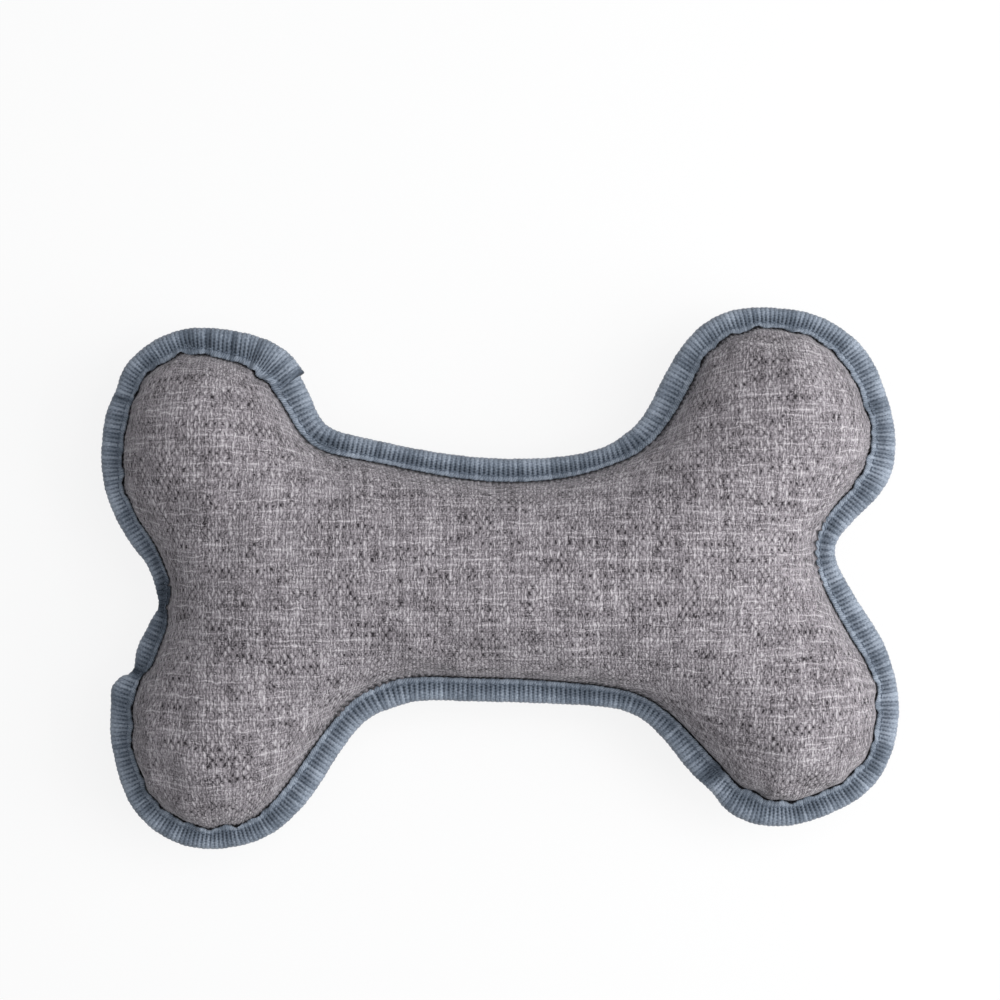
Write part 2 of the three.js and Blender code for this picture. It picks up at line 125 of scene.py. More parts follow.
# Binding tape: heights are measured from the seam plane, shares across run from its fold to its lip
TAPE_PROFILE = (  # share across, height in millimetres, depth of the ribs and their painted shade, as shares
    (0.0, 0.0, 0.6, 0.35),
    (0.03, 1.0, 0.6, 0.35),
    (0.10, 1.9, 0.6, 0.35),
    (0.21, 2.5, 0.7, 0.4),
    (0.33, 2.7, 0.8, 0.5),
    (0.44, 2.6, 1.0, 0.75),
    (0.55, 2.35, 1.0, 0.9),
    (0.66, 2.0, 1.0, 1.0),
    (0.75, 1.72, 0.8, 1.0),
    (0.79, 1.85, 0.5, 0.6),
    (0.85, 2.25, 0.35, 0.3),
    (0.94, 2.4, 0.35, 0.25),
    (1.0, 2.3, 0.35, 0.4),
)
TAPE_LINING = ((1.0, 1.42), (0.55, 1.45), (0.14, 1.45))  # share across, height in millimetres
RIB_PITCH = 1.47 * mm
RIB_STEPS = 5
YARN_PITCH = 0.95 * mm  # between the fine yarns that bridge the grooves
RIB_HEIGHT = 0.32 * mm
RIB_ROUND = 0.8  # power of the sine that gives a rib its round back
RIB_MEAN = 0.6
LAP = 14.0 * mm
LAP_CLIMB = 7.0 * mm
LAP_LIFT = 1.2 * mm
LAP_SLANT = 3.0 * mm
LAP_FLARE = 0.9 * mm
FLARE_REACH = 3.0 * mm
SLANT_SHARES = (0.1, 0.85)  # share across where the cut's slant starts, and where it crosses the run
LAP_TIP = 1.6 * mm  # how much of the cut end dips and is painted dark as shade
TIP_DIP = 1.3 * mm
TIP_ACROSS = ((0.0, 1.0), (0.3, 0.7), (0.5, 0.2))  # share across, share of the dip
WOBBLE = 0.06 * mm
WOBBLE_LENGTHS = (3.3 * mm, 5.9 * mm, 10.7 * mm)
SCALLOP = 0.08 * mm
SCALLOP_LENGTHS = (2.3 * mm, 3.7 * mm)
PLEAT = (-116.5, -30.0)  # where the tape doubles over in the left notch, in millimetres
PLEAT_LIFT = 0.9 * mm
PLEAT_LENGTH = 9.0 * mm
PLEAT_START = 1.2 * mm
# a tuck's depth also sets the painted shade in it
TUCKS = (  # x, y, reach along the edge, depth of a dip across the tape, all in millimetres
    (-98.4, 77.0, 2.6, 0.6),
    (-90.9, 77.5, 1.2, 0.6),
    (-82.7, 76.5, 1.4, 0.5),
    (-121.0, 57.0, 0.9, 0.7),
    (-106.5, -5.5, 3.6, 0.9),
    (-106.8, -8.8, 1.0, 0.6),
    (-110.0, -15.0, 8.0, 0.35),
    (-115.0, -28.0, 1.8, 1.4),
    (69.5, -59.0, 2.2, 0.9),
    (118.5, 54.0, 2.4, 0.5),
    (-52.0, 45.0, 2.4, 0.5),
)
TUCK_ACROSS = ((0.0, 0.2), (0.15, 1.0), (0.7, 1.0), (1.0, 0.6))  # share across, share of the dip
TAPE_FLOOR = 1.5 * mm  # no tuck goes below this height
LIP_FROM = 0.78
GROOVE_SHADE = 0.2  # how much darker the tape is in its groove
ENDS_LIT = 0.35  # painted light: how much lighter the gaps are painted at the bone's ends, where the lamps fall
RUFFLE_RISE = 0.55 * mm
RUFFLE_REACH = 0.27 * mm
RUFFLE_LENGTHS = (5.3 * mm, 8.3 * mm, 12.1 * mm)
RUFFLE_LEAST = 0.15
KNOB_BEND = 1 / (34 * mm)  # curvature of a knob's edge, where the lip ruffles fully

# Seam
STITCH_SHARE = 0.765
STITCH_LENGTH = 3.1 * mm
STITCH_GAP = 0.5 * mm
STITCH_RADIUS = 0.26 * mm
STITCH_RINGS = 7
STITCH_SIDES = 6

# Covers
CLOTH = 1.0 * mm
ALLOWANCE_TOP = 1.15 * mm
SEAM_GAP = 0.55 * mm
SEAM_RIPPLE = 0.36 * mm
RIPPLE_LENGTHS = (10.3 * mm, 14.9 * mm, 21.7 * mm)
SEAM_SHADE = 2.2 * mm  # how far up from the seam the cloth lies in the tape's shade
SEAM_THINNED = 3  # distances to the seam look at one station in so many
PLACES_AT_ONCE = 4000
COVER_SPACING = 2.3 * mm
RIM_SPACING = 1.7 * mm
FIELD_STEP = 1.0 * mm
FIELD_BORDER = 12 * mm
FIELD_RINGS = 16  # how many rings of the grid a field is carried outwards
KNOWN_DEPTH = 2.5 * mm  # the pressed sheet is read only this far inside the seam
SEWN_REACH = 6.0 * mm  # how far the cloth's map goes on outside the seam
RIM_STEP = 2.2 * mm
RIM_RINGS = 10
RIM_REACH = 6.0 * mm
RIM_ROUND = 60 * mm
UNDER_TAPE = (-3.0 * mm, -1.4 * mm)  # where the cover's first rings lie, out from the seam
STUFFED_FRAMES = 20
STUFFED_CAP = 4.0 * mm
STUFFED_FROM = 2 * mm  # rise above the seam where the simulation starts to move the cloth
STUFFED_OVER = 10 * mm  # rise from there to its full move
LUMP = 0.5 * mm
LUMP_RISE = 12 * mm
LUMP_LENGTHS = ((31 * mm, 19 * mm), (27 * mm, 43 * mm))  # along the bone, across it
BACK_FLAT = 0.5 * mm  # how much fuller the back is than its room, so that it lies flat on the floor
PUSHES = (  # where the stuffing pushes harder: x, y, reaches along x and y in millimetres, how much harder
    (-91.0, 55.0, 16.0, 16.0, 2.6),
    (-91.0, -57.0, 16.0, 16.0, 2.6),
    (93.0, -55.0, 16.0, 16.0, 2.6),
    (94.0, 58.0, 16.0, 16.0, 2.6),
    (0.0, 0.0, 24.0, 500.0, 0.8),
)

# Weave: how far apart the yarns lie, and how many yarns they sway by
WARP_PITCH = 1.11 * mm
WEFT_PITCH = 1.67 * mm
WARP_SWAY = 1.6
WEFT_SWAY = 1.2

# Colours as they look on a screen, 0 to 255
CLOTH_DARK = (46, 42, 46)
CLOTH_MIDDLE = (149, 143, 148)
CLOTH_LIGHT = (205, 200, 204)
# painted shade that the cloth takes by the seam, where the tape's lip shades it
SEAM_SHADE_COLOUR = (34, 34, 39)
TAPE_DARK = (32, 42, 54)
TAPE_MIDDLE = (98, 108, 121)
TAPE_LIGHT = (174, 184, 198)

# Studio: lamps by place, side and power, in metres and watts, then the floor and the room
LAMPS = {
    "key": ((0.687, -0.036, 0.53), 0.7, 5.6),
    "high": ((0.289, 0.135, 0.82), 0.5, 3.2),
    "fill": ((-0.22, 0.0, 0.84), 0.5, 0.85),
}
FLOOR_GLOW = 0.86  # how much of the floor's look is plain white, the rest takes the shadow
ROOM_LIGHT = 0.2
ROOM_TINT = (0.96, 1.0, 1.05, 1)
ROOM_SEEN = 0.9


def points_of(mesh):
    """The mesh's points, as an array."""
    points = np.empty(3 * len(mesh.vertices))
    mesh.vertices.foreach_get("co", points)
    return points.reshape(-1, 3)


def normals_of(mesh):
    """The way out of the mesh at each of its points, as an array."""
    normals = np.empty(3 * len(mesh.vertices))
    mesh.vertex_normals.foreach_get("vector", normals)
    return normals.reshape(-1, 3)


tape_points = points_of(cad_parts["binding_tape"].data)
SEAM_Z = (tape_points[:, 2].min() + tape_points[:, 2].max()) / 2


def new_piece(name, points, faces, material):
    """A mesh object from an array of points and arrays of faces, each array with its own corner count."""
    mesh = bpy.data.meshes.new(name)
    counts = np.concatenate([np.full(len(some), some.shape[1]) for some in faces])
    corners = np.concatenate([some.ravel() for some in faces])
    mesh.vertices.add(len(points))
    mesh.vertices.foreach_set("co", np.asarray(points, np.float32).ravel())
    mesh.loops.add(len(corners))
    mesh.loops.foreach_set("vertex_index", corners.astype(np.int32))
    mesh.polygons.add(len(counts))
    mesh.polygons.foreach_set("loop_start", (np.cumsum(counts) - counts).astype(np.int32))
    mesh.update(calc_edges=True)
    mesh.validate()
    mesh.shade_smooth()
    piece = bpy.data.objects.new(name, mesh)
    bpy.context.scene.collection.objects.link(piece)
    mesh.materials.append(material)
    return piece


def grid_faces(rows, columns, closed_rows=False, closed_columns=False):
    """Quads of a grid of points stored row by row, with either way closed on itself."""
    r = np.arange(rows if closed_rows else rows - 1)[:, None]
    c = np.arange(columns if closed_columns else columns - 1)[None, :]
    here = r * columns
    after = (r + 1) % rows * columns
    right = (c + 1) % columns
    return np.stack([here + c, here + right, after + right, after + c], -1).reshape(-1, 4)


def set_map(mesh, name, places):
    """A UV map from an array of one pair of numbers for each vertex."""
    corners = np.empty(len(mesh.loops), np.int32)
    mesh.loops.foreach_get("vertex_index", corners)
    mesh.uv_layers.new(name=name).data.foreach_set("uv", places[corners].astype(np.float32).ravel())


def set_attribute(mesh, name, values):
    """A number for each vertex."""
    layer = mesh.attributes.new(name, "FLOAT", "POINT")
    layer.data.foreach_set("value", values.astype(np.float32))


# Edge of the bone

def closed_spline(points, count):
    """The periodic cubic spline over chord length through the points, at a count of equal steps.

    Each coordinate's second derivatives solve the usual cyclic system with the chords as intervals.
    """
    after = np.roll(points, -1, 0)
    chord = np.linalg.norm(after - points, axis=1)
    before = np.roll(chord, 1)
    slope = (after - points) / chord[:, None]
    index = np.arange(len(points))
    system = np.diag(2 * (before + chord))
    system[index, (index + 1) % len(points)] += chord
    system[index, index - 1] += before
    second = np.linalg.solve(system, 6 * (slope - np.roll(slope, 1, 0)))
    knots = np.concatenate([[0], np.cumsum(chord)])
    place = np.linspace(0, knots[-1], count, endpoint=False)
    i = np.searchsorted(knots, place, "right") - 1
    j = (i + 1) % len(points)
    gap = chord[i][:, None]
    left = (place - knots[i])[:, None]
    right = gap - left
    bend = (second[i] * right**3 + second[j] * left**3) / (6 * gap)
    from_here = (points[i] / gap - second[i] * gap / 6) * right
    from_next = (points[j] / gap - second[j] * gap / 6) * left
    return bend + from_here + from_next


def fold_corners():
    """The corners of the tape's outer fold, seen from above, in order anticlockwise.

    They are the tape's points nearest to the seam plane, chained from neighbour to neighbour.
    """
    rise = tape_points[:, 2] - SEAM_Z
    lowest = np.abs(rise).min()
    fold = tape_points[(rise > 0) & (rise < lowest + FOLD_MARGIN), :2]
    loose = np.unique(fold.round(6), axis=0)
    chain = [loose[0]]
    loose = loose[1:]
    while len(loose):
        nearest = np.linalg.norm(loose - chain[-1], axis=1).argmin()
        chain.append(loose[nearest])
        loose = np.delete(loose, nearest, 0)
    chain = np.array(chain)
    following = np.roll(chain, -1, 0)
    area = (chain[:, 0] * following[:, 1] - chain[:, 1] * following[:, 0]).sum()
    return chain if area > 0 else chain[::-1]


def nearest_station(points, x, y):
    """The index of the station nearest to a place given in millimetres."""
    return np.linalg.norm(points - np.array([x, y]) * mm, axis=1).argmin()


def wander(places, lengths, seed):
    """A wandering number, mostly within -1 and 1: sines of those lengths with seeded phases, added up."""
    phases = np.random.default_rng(seed).uniform(0, TURN, len(lengths))
    waves = [np.sin(TURN * places / length + phase) for length, phase in zip(lengths, phases)]
    return sum(waves) / len(lengths) ** 0.5


def fullness(bend):
    """How full the tape is where the edge has that bend: whole on the knobs, none along the waists."""
    return np.clip(bend / KNOB_BEND, 0, 1)


class Edge:
    """The sewn edge: stations anticlockwise from the cut end of the tape, and what varies along them."""

    def __init__(self):
        points = closed_spline(closed_spline(fold_corners(), STATIONS)[::THINNED], STATIONS)
        lifted = tape_points[tape_points[:, 2] > tape_points[:, 2].max() - LAP_MARGIN, :2]
        on_lap = np.array([np.linalg.norm(points - place, axis=1).argmin() for place in lifted])
        ahead = (on_lap[None, :] - on_lap[:, None]) % STATIONS
        points = np.roll(points, -on_lap[(ahead > STATIONS / 2).sum(1).argmin()], 0)
        self.point = points
        self.length = np.linalg.norm(np.roll(points, -1, 0) - points, axis=1).sum()
        self.step = self.length / STATIONS
        self.run = np.arange(STATIONS) * self.step
        heading = np.roll(points, -1, 0) - np.roll(points, 1, 0)
        heading /= np.linalg.norm(heading, axis=1)[:, None]
        self.normal = np.stack([heading[:, 1], -heading[:, 0]], 1)
        turn = np.roll(heading, -1, 0) - np.roll(heading, 1, 0)
        self.bend = self.smooth(-(turn * self.normal).sum(1) / (2 * self.step), BEND_REACH)
        self.out = self.waves(EDGE_WAVES)
        ripple = SEAM_RIPPLE * fullness(self.bend) * self.ripple(RIPPLE_LENGTHS, 71)
        self.inner = TAPE_SHOWN + self.waves(SEAM_WAVES) + ripple

    def smooth(self, values, reach):
        """Values along the edge, blurred by a bell curve of that reach."""
        away = np.minimum(self.run, self.length - self.run)
        bell = np.exp(-0.5 * (away / reach) ** 2)
        return np.fft.irfft(np.fft.rfft(values) * np.fft.rfft(bell / bell.sum()), STATIONS)

    def waves(self, waves):
        """The sum of bell curves along the edge, each about the station nearest to its place."""
        total = np.zeros(STATIONS)
        for x, y, reach, size in waves:
            away = np.abs(self.run - self.run[nearest_station(self.point, x, y)])
            away = np.minimum(away, self.length - away)
            total += size * mm * np.exp(-0.5 * (away / (reach * mm)) ** 2)
        return total

    def ripple(self, lengths, seed):
        """A wander along the edge that closes on itself."""
        whole = self.length / np.round(self.length / np.array(lengths))
        return wander(self.run, whole, seed)

    def at(self, values, run):
        """A value along the edge, read at any run."""
        if values.ndim == 1:
            return np.interp(run, self.run, values, period=self.length)
        return np.stack([self.at(column, run) for column in values.T], -1)

    def inwards(self, run, inset):
        """Points at a run along the edge and a distance inwards from the plain outline."""
        return self.at(self.point, run) - self.at(self.normal, run) * inset[..., None]


edge = Edge()


# Finishes

class Finish:
    """A node material while it is wired: each call adds one node and gives back its output."""

    def __init__(self, name):
        self.material = bpy.data.materials.new(name)
        self.material.use_nodes = True
        self.tree = self.material.node_tree
        self.tree.nodes.clear()

    def add(self, kind, sockets=None, output=0, **settings):
        made = self.tree.nodes.new(kind)
        for name, value in settings.items():
            setattr(made, name, value)
        for name, value in (sockets or {}).items():
            if isinstance(value, bpy.types.NodeSocket):
                self.tree.links.new(value, made.inputs[name])
            else:
                made.inputs[name].default_value = value
        return made.outputs[output]

    def math(self, operation, *values):
        return self.add("ShaderNodeMath", dict(enumerate(values)), operation=operation)

    def vector(self, x, y, z=0.0):
        return self.add("ShaderNodeCombineXYZ", {"X": x, "Y": y, "Z": z})

    def parts(self, place):
        split = self.tree.nodes.new("ShaderNodeSeparateXYZ")
        self.tree.links.new(place, split.inputs[0])
        return split.outputs[0], split.outputs[1]

    def times(self, one, other):
        return self.math("MULTIPLY", one, other)

    def power(self, value, exponent):
        return self.math("POWER", value, exponent)

    def total(self, first, *others):
        for other in others:
            first = self.math("ADD", first, other)
        return first

    def held(self, name):
        """A number that the mesh holds for each vertex."""
        return self.add("ShaderNodeAttribute", attribute_name=name, output=2)

    def noise(self, place, scale, detail=2.0, roughness=0.5):
        sockets = {"Vector": place, "Scale": scale, "Detail": detail, "Roughness": roughness}
        return self.add("ShaderNodeTexNoise", sockets)

    def streaks(self, x, y, layer, detail, roughness):
        """Noise over two values, each given with its rate, so that it can be drawn out along one."""
        return self.noise(self.vector(self.times(*x), self.times(*y), layer), 1.0, detail, roughness)

    def spread(self, value, low, high, to_low=0.0, to_high=1.0):
        sockets = {"Value": value, "From Min": low, "From Max": high, "To Min": to_low, "To Max": to_high}
        return self.add("ShaderNodeMapRange", sockets)

    def between(self, share, low, high):
        return self.add("ShaderNodeMix", {0: share, 2: low, 3: high}, data_type="FLOAT")

    def mix(self, share, low, high):
        return self.add("ShaderNodeMix", {0: share, 6: low, 7: high}, output=2, data_type="RGBA")

    def tones(self, value, *stops):
        made = self.tree.nodes.new("ShaderNodeValToRGB")
        self.tree.links.new(value, made.inputs["Fac"])
        ramp = made.color_ramp
        while len(ramp.elements) < len(stops):
            ramp.elements.new(1.0)
        for element, (place, colour) in zip(ramp.elements, stops):
            element.position = place
            element.color = srgb(*colour)
        return made.outputs["Color"]

    def done(self, surface):
        output = self.tree.nodes.new("ShaderNodeOutputMaterial")
        self.tree.links.new(surface, output.inputs["Surface"])
        return self.material

    def shade(self, sockets):
        return self.done(self.add("ShaderNodeBsdfPrincipled", sockets))


def srgb(red, green, blue):
    """A colour written as it looks on a screen, 0 to 255, as a linear colour."""
    parts = [part / 255 for part in (red, green, blue)]
    return (*[part / 12.92 if part < 0.04045 else ((part + 0.055) / 1.055) ** 2.4 for part in parts], 1.0)


def cover_cloth():
    """Linen-look plain weave, counted in yarns on the cloth's own map, swayed a little by noise.

    The sign of sin(pi U) sin(pi V) tells which yarn lies on top. Weft floats are dark in the middle, the
    gaps between yarns are dark, and light threads and finer hairs run along the crests of both. Tones
    change along each yarn, from float to float, in fibres and in long streaks. Near the seam a painted
    shade darkens them, standing in for the shade under the tape's lip.
    """
    cloth = Finish("cover_cloth")
    place = cloth.add("ShaderNodeUVMap", uv_map="weave")
    across, up = cloth.parts(place)
    sway = cloth.add("ShaderNodeTexNoise", {"Vector": place, "Scale": 300.0, "Detail": 2.0}, "Color")
    sway_u, sway_v = cloth.parts(sway)
    warp = cloth.math("MULTIPLY_ADD", sway_u, WARP_SWAY, cloth.math("DIVIDE", across, WARP_PITCH))
    weft = cloth.math("MULTIPLY_ADD", sway_v, WEFT_SWAY, cloth.math("DIVIDE", up, WEFT_PITCH))
    warp_row = cloth.math("FLOOR", warp)
    weft_row = cloth.math("FLOOR", weft)
    warp_sine = cloth.math("SINE", cloth.times(warp, math.pi))
    weft_sine = cloth.math("SINE", cloth.times(weft, math.pi))
    warp_round = cloth.math("ABSOLUTE", warp_sine)
    weft_round = cloth.math("ABSOLUTE", weft_sine)
    warp_over = cloth.math("MULTIPLY_ADD", cloth.times(warp_sine, weft_sine), 4.0, 0.5)
    warp_over = cloth.math("MINIMUM", cloth.math("MAXIMUM", warp_over, 0.0), 1.0)

    warp_tone = cloth.streaks((warp_row, 7.31), (weft, 0.09), 0.0, 4.0, 0.65)
    weft_tone = cloth.streaks((warp, 0.06), (weft_row, 9.17), 5.0, 4.0, 0.65)
    warp_fibre = cloth.streaks((warp, 2.3), (weft, 1.1), 0.0, 2.0, 0.6)
    weft_fibre = cloth.streaks((warp, 0.9), (weft, 3.4), 0.0, 2.0, 0.6)
    weft_streak = cloth.streaks((warp, 0.05), (weft, 0.42), 21.0, 3.0, 0.6)
    warp_streak = cloth.streaks((warp, 0.4), (weft, 0.04), 33.0, 3.0, 0.6)
    warp_hair = cloth.streaks((warp_row, 3.7), (weft, 0.3), 9.0, 1.0, 0.5)
    weft_hair = cloth.streaks((warp, 0.22), (weft_row, 5.3), 13.0, 1.0, 0.5)
    float_place = cloth.vector(warp_row, weft_row)
    float_tone = cloth.add("ShaderNodeTexWhiteNoise", {"Vector": float_place}, noise_dimensions="2D")
    fibre = cloth.between(warp_over, weft_fibre, warp_fibre)
    # painted shade by the seam: one at the seam, fading to none SEAM_SHADE up from it
    seam = cloth.held("seam")

    warp_light = cloth.spread(warp_tone, 0.4, 0.68, 0.0, 0.5)
    weft_light = cloth.spread(weft_tone, 0.42, 0.7, 0.0, 0.6)
    warp_seen = cloth.math("MULTIPLY_ADD", warp_over, 0.65, 0.35)
    weft_seen = cloth.math("MULTIPLY_ADD", warp_over, -0.65, 1.0)
    pit = cloth.power(cloth.times(warp_round, weft_round), 1.8)
    dark = cloth.times(pit, cloth.spread(weft_tone, 0.35, 0.65, 0.72, 0.36))
    warp_value = cloth.spread(warp_tone, 0.3, 0.7, 0.3, 0.5)
    weft_value = cloth.math("SUBTRACT", cloth.spread(weft_tone, 0.3, 0.7, 0.42, 0.58), dark)
    gap = cloth.times(cloth.math("SUBTRACT", 1.0, warp_round), cloth.math("SUBTRACT", 1.0, weft_round))
    value = cloth.total(
        cloth.between(warp_over, weft_value, warp_value),
        cloth.times(cloth.power(warp_round, 9.0), cloth.times(warp_light, warp_seen)),
        cloth.times(cloth.power(weft_round, 8.0), cloth.times(weft_light, weft_seen)),
        cloth.times(cloth.power(warp_round, 12.0), cloth.spread(warp_hair, 0.45, 0.62, 0.0, 0.31)),
        cloth.times(cloth.power(weft_round, 18.0), cloth.spread(weft_hair, 0.47, 0.64, 0.0, 0.3)),
        cloth.times(gap, -0.2),
        cloth.spread(fibre, 0.3, 0.7, -0.26, 0.25),
        cloth.spread(float_tone, 0.0, 1.0, -0.12, 0.12),
        cloth.spread(weft_streak, 0.3, 0.7, -0.1, 0.1),
        cloth.spread(warp_streak, 0.3, 0.7, -0.11, 0.11),
        # painted shade by the seam
        cloth.times(seam, -0.5),
    )
    colour = cloth.tones(value, (0.0, CLOTH_DARK), (0.5, CLOTH_MIDDLE), (1.0, CLOTH_LIGHT))
    # painted shade: near the tape the cloth's colour goes towards the seam's shade colour
    colour = cloth.mix(cloth.power(seam, 2.0), colour, srgb(*SEAM_SHADE_COLOUR))

    warp_back = cloth.math("MULTIPLY_ADD", weft_round, 0.5, 0.5)
    weft_back = cloth.math("MULTIPLY_ADD", warp_round, 0.35, 0.35)
    warp_height = cloth.times(cloth.math("SQRT", warp_round), warp_back)
    weft_height = cloth.times(cloth.math("SQRT", weft_round), weft_back)
    height = cloth.between(warp_over, weft_height, warp_height)
    relief = cloth.math("MULTIPLY_ADD", fibre, 0.25, height)
    normal = cloth.add("ShaderNodeBump", {"Strength": 1.0, "Distance": 0.35 * mm, "Height": relief})
    return cloth.shade({
        "Base Color": colour,
        "Roughness": 0.92,
        "Specular IOR Level": 0.2,
        "Sheen Weight": 0.12,
        "Sheen Roughness": 0.5,
        "Normal": normal,
    })


def ribbed_tape():
    """Grosgrain: light cords, dark gaps between them that fine yarns bridge in turn, and a paler selvedge.

    Tones change from cord to cord, in slow patches and along the fibres. The dark of the gaps is painted
    shade, deepest in the groove, and painted shade also darkens the tucks and the cut end of the lap.
    """
    tape = Finish("ribbed_tape")
    place = tape.add("ShaderNodeUVMap", uv_map="tape")
    along, across = tape.parts(place)
    rib = tape.held("rib")
    ribs = tape.math("DIVIDE", along, RIB_PITCH)
    odd = tape.times(tape.math("MODULO", tape.math("ROUND", ribs), 2.0), math.pi / 2)
    yarn = tape.math("COSINE", tape.math("MULTIPLY_ADD", across, math.pi / YARN_PITCH, odd))
    yarn = tape.math("ABSOLUTE", yarn)
    bridged = tape.math("MULTIPLY_ADD", tape.power(yarn, 3.0), -0.5, 1.0)
    # the gaps' painted shade, read from the rib attribute and bridged in turn by the fine yarns
    hole = tape.times(tape.math("SUBTRACT", 1.0, rib), bridged)
    patch = tape.noise(place, 110.0, 3.0)
    fibre = tape.streaks((along, 3200.0), (across, 1100.0), 0.0, 2.0, 0.5)
    cord = tape.add("ShaderNodeTexWhiteNoise", {"W": tape.math("FLOOR", ribs)}, noise_dimensions="1D")
    slant = tape.times(across, TURN / (1.1 * mm))
    weave = tape.math("SINE", tape.math("MULTIPLY_ADD", along, TURN / (0.74 * mm), slant))
    # painted highlight: the cords are a little lighter towards the tape's rounded outer fold
    cords = tape.math("MULTIPLY_ADD", hole, -1.0, tape.math("MULTIPLY_ADD", tape.held("fold"), 0.04, 0.7))
    selvedge = tape.math("MULTIPLY_ADD", rib, 0.4, tape.math("MULTIPLY_ADD", weave, 0.1, 0.27))
    value = tape.total(
        tape.between(tape.held("lip"), cords, selvedge),
        tape.spread(patch, 0.3, 0.7, -0.11, 0.11),
        tape.spread(fibre, 0.3, 0.7, -0.15, 0.15),
        tape.spread(cord, 0.0, 1.0, -0.1, 0.1),
        # painted shade in the tucks and at the lap's cut end, darker where they dip deeper
        tape.times(tape.held("tuck"), -0.45),
    )
    colour = tape.tones(value, (0.0, TAPE_DARK), (0.5, TAPE_MIDDLE), (1.0, TAPE_LIGHT))
    relief = tape.math("SUBTRACT", tape.times(fibre, 0.4), hole)
    normal = tape.add("ShaderNodeBump", {"Strength": 0.5, "Distance": 0.12 * mm, "Height": relief})
    return tape.shade({
        "Base Color": colour,
        "Roughness": 0.75,
        "Specular IOR Level": 0.3,
        "Sheen Weight": 0.15,
        "Normal": normal,
    })


def sewing_thread():
    """Twisted polyester thread: slanting plies on the thread's own map."""
    thread = Finish("sewing_thread")
    place = thread.add("ShaderNodeUVMap", uv_map="thread")
    along, turned = thread.parts(place)
    twist = thread.math("MULTIPLY", turned, 2 * TURN)
    twist = thread.math("MULTIPLY_ADD", along, TURN / (0.9 * mm), twist)
    ply = thread.math("MULTIPLY_ADD", thread.math("SINE", twist), 0.5, 0.5)
    colour = thread.tones(ply, (0.0, (64, 74, 87)), (1.0, (112, 122, 136)))
    normal = thread.add("ShaderNodeBump", {"Strength": 0.6, "Distance": 0.08 * mm, "Height": ply})
    return thread.shade({
        "Base Color": colour,
        "Roughness": 0.7,
        "Specular IOR Level": 0.3,
        "Normal": normal,
    })


def stuffing_fibre():
    """Crimped polyester fibre: fine stretched noise for the strands, coarse noise for the tufts."""
    fibre = Finish("stuffing_fibre")
    place = fibre.add("ShaderNodeTexCoord", output=3)
    bent = fibre.add("ShaderNodeTexNoise", {"Vector": place, "Scale": 60.0, "Detail": 2.0}, "Color")
    bends = {0: bent, 1: (0.02, 0.02, 0.02), 2: place}
    crimped = fibre.add("ShaderNodeVectorMath", bends, operation="MULTIPLY_ADD")
    stretched = fibre.add("ShaderNodeMapping", {"Vector": crimped, "Scale": (400.0, 2600.0, 2600.0)})
    strand = fibre.noise(stretched, 1.0, 3.0)
    tuft = fibre.noise(place, 140.0, 3.0)
    strands = fibre.tones(strand, (0.3, (205, 202, 192)), (0.65, (244, 243, 238)))
    colour = fibre.mix(tuft, strands, srgb(236, 233, 225))
    normal = fibre.add("ShaderNodeBump", {"Strength": 0.7, "Distance": 0.4 * mm, "Height": strand})
    return fibre.shade({
        "Base Color": colour,
        "Roughness": 1.0,
        "Sheen Weight": 0.4,
        "Subsurface Weight": 0.15,
        "Subsurface Radius": (0.003, 0.003, 0.003),
        "Normal": normal,
    })


def moulded_plastic(name, low, high, roughness, grain):
    """Moulded plastic: a slight cloud in its colour and gloss, and a fine moulded grain."""
    plastic = Finish(name)
    place = plastic.add("ShaderNodeTexCoord", output=3)
    cloud = plastic.noise(place, 90.0, 3.0)
    fine = plastic.noise(place, grain, 2.0)
    normal = plastic.add("ShaderNodeBump", {"Strength": 0.15, "Distance": 0.05 * mm, "Height": fine})
    return plastic.shade({
        "Base Color": plastic.tones(cloud, (0.3, low), (0.7, high)),
        "Roughness": plastic.spread(cloud, 0.3, 0.7, roughness - 0.06, roughness + 0.06),
        "Normal": normal,
    })


CLOTH_FINISH = cover_cloth()
TAPE_FINISH = ribbed_tape()
THREAD_FINISH = sewing_thread()
FIBRE_FINISH = stuffing_fibre()
BULB_FINISH = moulded_plastic("bulb_plastic", (212, 214, 216), (226, 228, 230), 0.38, 1400.0)
WHISTLE_FINISH = moulded_plastic("whistle_plastic", (226, 226, 220), (238, 238, 233), 0.32, 2200.0)
REED_FINISH = moulded_plastic("reed_film", (188, 198, 204), (206, 214, 218), 0.22, 3000.0)


# Binding tape

def lap_lift(run):
    """How far the tape stands off the edge: on its lap, then down to none, and again past its pleat."""
    share = np.clip((run - LAP) / LAP_CLIMB, 0, 1)
    past = run - edge.run[nearest_station(edge.point, *PLEAT)]
    pleat = PLEAT_LIFT * np.clip(past / PLEAT_START, 0, 1) * np.exp(-np.maximum(past, 0) / PLEAT_LENGTH)
    return LAP_LIFT * (1 - share * share * (3 - 2 * share)) + pleat


def tuck_depth(run):
    """How deep the tape dips at its tucks, a bell curve along the run for each."""
    dips = np.zeros(run.shape)
    for x, y, reach, depth in TUCKS:
        away = (run - edge.run[nearest_station(edge.point, x, y)]) / (reach * mm)
        dips += np.exp(-(away**2)) * depth * mm
    return dips


def tape_width(run):
    """Width of the tape that shows, from its fold to its lip."""
    return edge.at(edge.inner + edge.out, run)


def ruffle(run, seed):
    """The lip's ruffle: a wander along the run, full on the knobs and slight along the waists."""
    return (RUFFLE_LEAST + fullness(edge.at(edge.bend, run))) * wander(run, RUFFLE_LENGTHS, seed)


